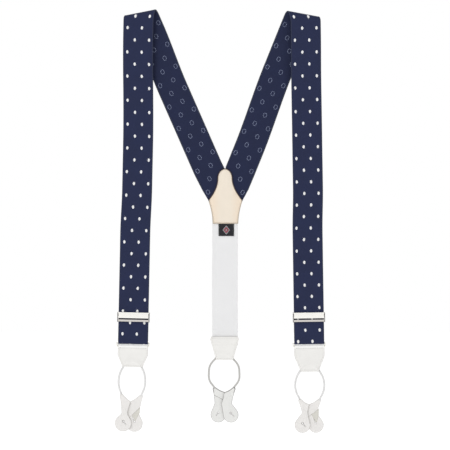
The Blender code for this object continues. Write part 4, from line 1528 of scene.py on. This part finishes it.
# ---------------------------------------------------------------- stage


def area_light(name, location, size, power):
    """A rectangular light that shines on the origin."""
    light = bpy.data.lights.new(name, "AREA")
    light.shape = "RECTANGLE"
    light.size, light.size_y = size
    light.energy = power
    obj = added(name, light)
    obj.location = location
    obj.rotation_euler = (-Vector(location)).to_track_quat("-Z", "Y").to_euler()


def build_world():
    """White to the camera, and a softer room, brighter towards the front and above, to everything else."""
    world = bpy.data.worlds.new("studio")
    bpy.context.scene.world = world
    world.use_nodes = True
    graph = Graph(world.node_tree)
    graph.tree.nodes.clear()
    x, y, z = graph.split(graph.value("TexCoord", output="Generated"))
    sides = graph.math("POWER", abs(x), 2.0) * -0.16
    front = graph.math("MAXIMUM", y * -1.0, 0.0) * 0.04
    path = graph.node("LightPath").outputs
    room = sides + 0.485 + z * 0.12 + front + Value(graph, path["Is Glossy Ray"]) * 0.42
    white = (1.0, 1.0, 1.0)
    soft, plain = (graph.value("Background", {"Color": white, "Strength": light}) for light in (room, 1.0))
    mix = graph.value("MixShader", {0: Value(graph, path["Is Camera Ray"]), 1: soft, 2: plain})
    graph.node("OutputWorld", {0: mix})


def build_floor(level):
    reach = 6.0
    mesh = bpy.data.meshes.new("pale_floor")
    corners = [(x * reach, y * reach, level) for x, y in ((-1, -1), (1, -1), (1, 1), (-1, 1))]
    mesh.from_pydata(corners, [], [(0, 1, 2, 3)])
    finish = Finish("pale_floor_paint", 0.9, specular=0.1)
    finish.set("Emission Color", (1.0, 1.0, 1.0))
    finish.set("Emission Strength", 0.9)
    mesh.materials.append(finish.done((0.22, 0.22, 0.22)))
    added("pale_floor", mesh)


def build_camera(front):
    """A long lens, level with the piece's middle. front is the y of the piece's front."""
    camera = bpy.data.cameras.new("camera")
    camera.lens = 180
    camera.sensor_width = 36
    camera.clip_end = 50
    distance = VIEW_HEIGHT * camera.lens / camera.sensor_width
    obj = added("camera", camera)
    obj.location = (VIEW_MIDDLE[0], front - distance + VIEW_DEPTH, VIEW_MIDDLE[1])
    obj.rotation_euler = (math.pi / 2, 0, 0)
    bpy.context.scene.camera = obj
    bpy.context.scene.view_settings.view_transform = "Standard"


# ---------------------------------------------------------------- everything


build_yoke()
build_elastic()
build_label()
for side in SIDES:
    strap = build_strap(side)
    build_wire_loop(strap)
    # The frame's nickel is darker than the lever's: painted shade on its bar and cheeks, and darker still
    # past the strap's edges.
    shaded_frame_nickel = nickel_finish(f"{side}_frame_nickel", (0.66, 0.63, 0.60), strap)
    polish(f"{side}_adjuster_frame", 0.25 * MM, shaded_frame_nickel)
    polish(f"{side}_adjuster_pin", 0.15 * MM, NICKEL)
    polish(f"{side}_adjuster_lever", 0.12 * MM, NICKEL)
for name in ENDS:
    end = End(name)
    build_rear_tab(end) if name == "rear" else build_front_tab(end)
    build_cord(end)
    for label in end.pivots:
        build_ear(end, label)
area_light("key", (-1.3, -2.2, 1.5), (1.6, 1.6), 25)
area_light("fill", (1.8, -2.0, 0.2), (1.4, 2.0), 4)
area_light("back", (0.6, 2.2, 1.4), (2.0, 1.6), 20)
build_world()
build_floor(first_box[0].z - FLOOR_DROP)
build_camera(first_box[0].y)
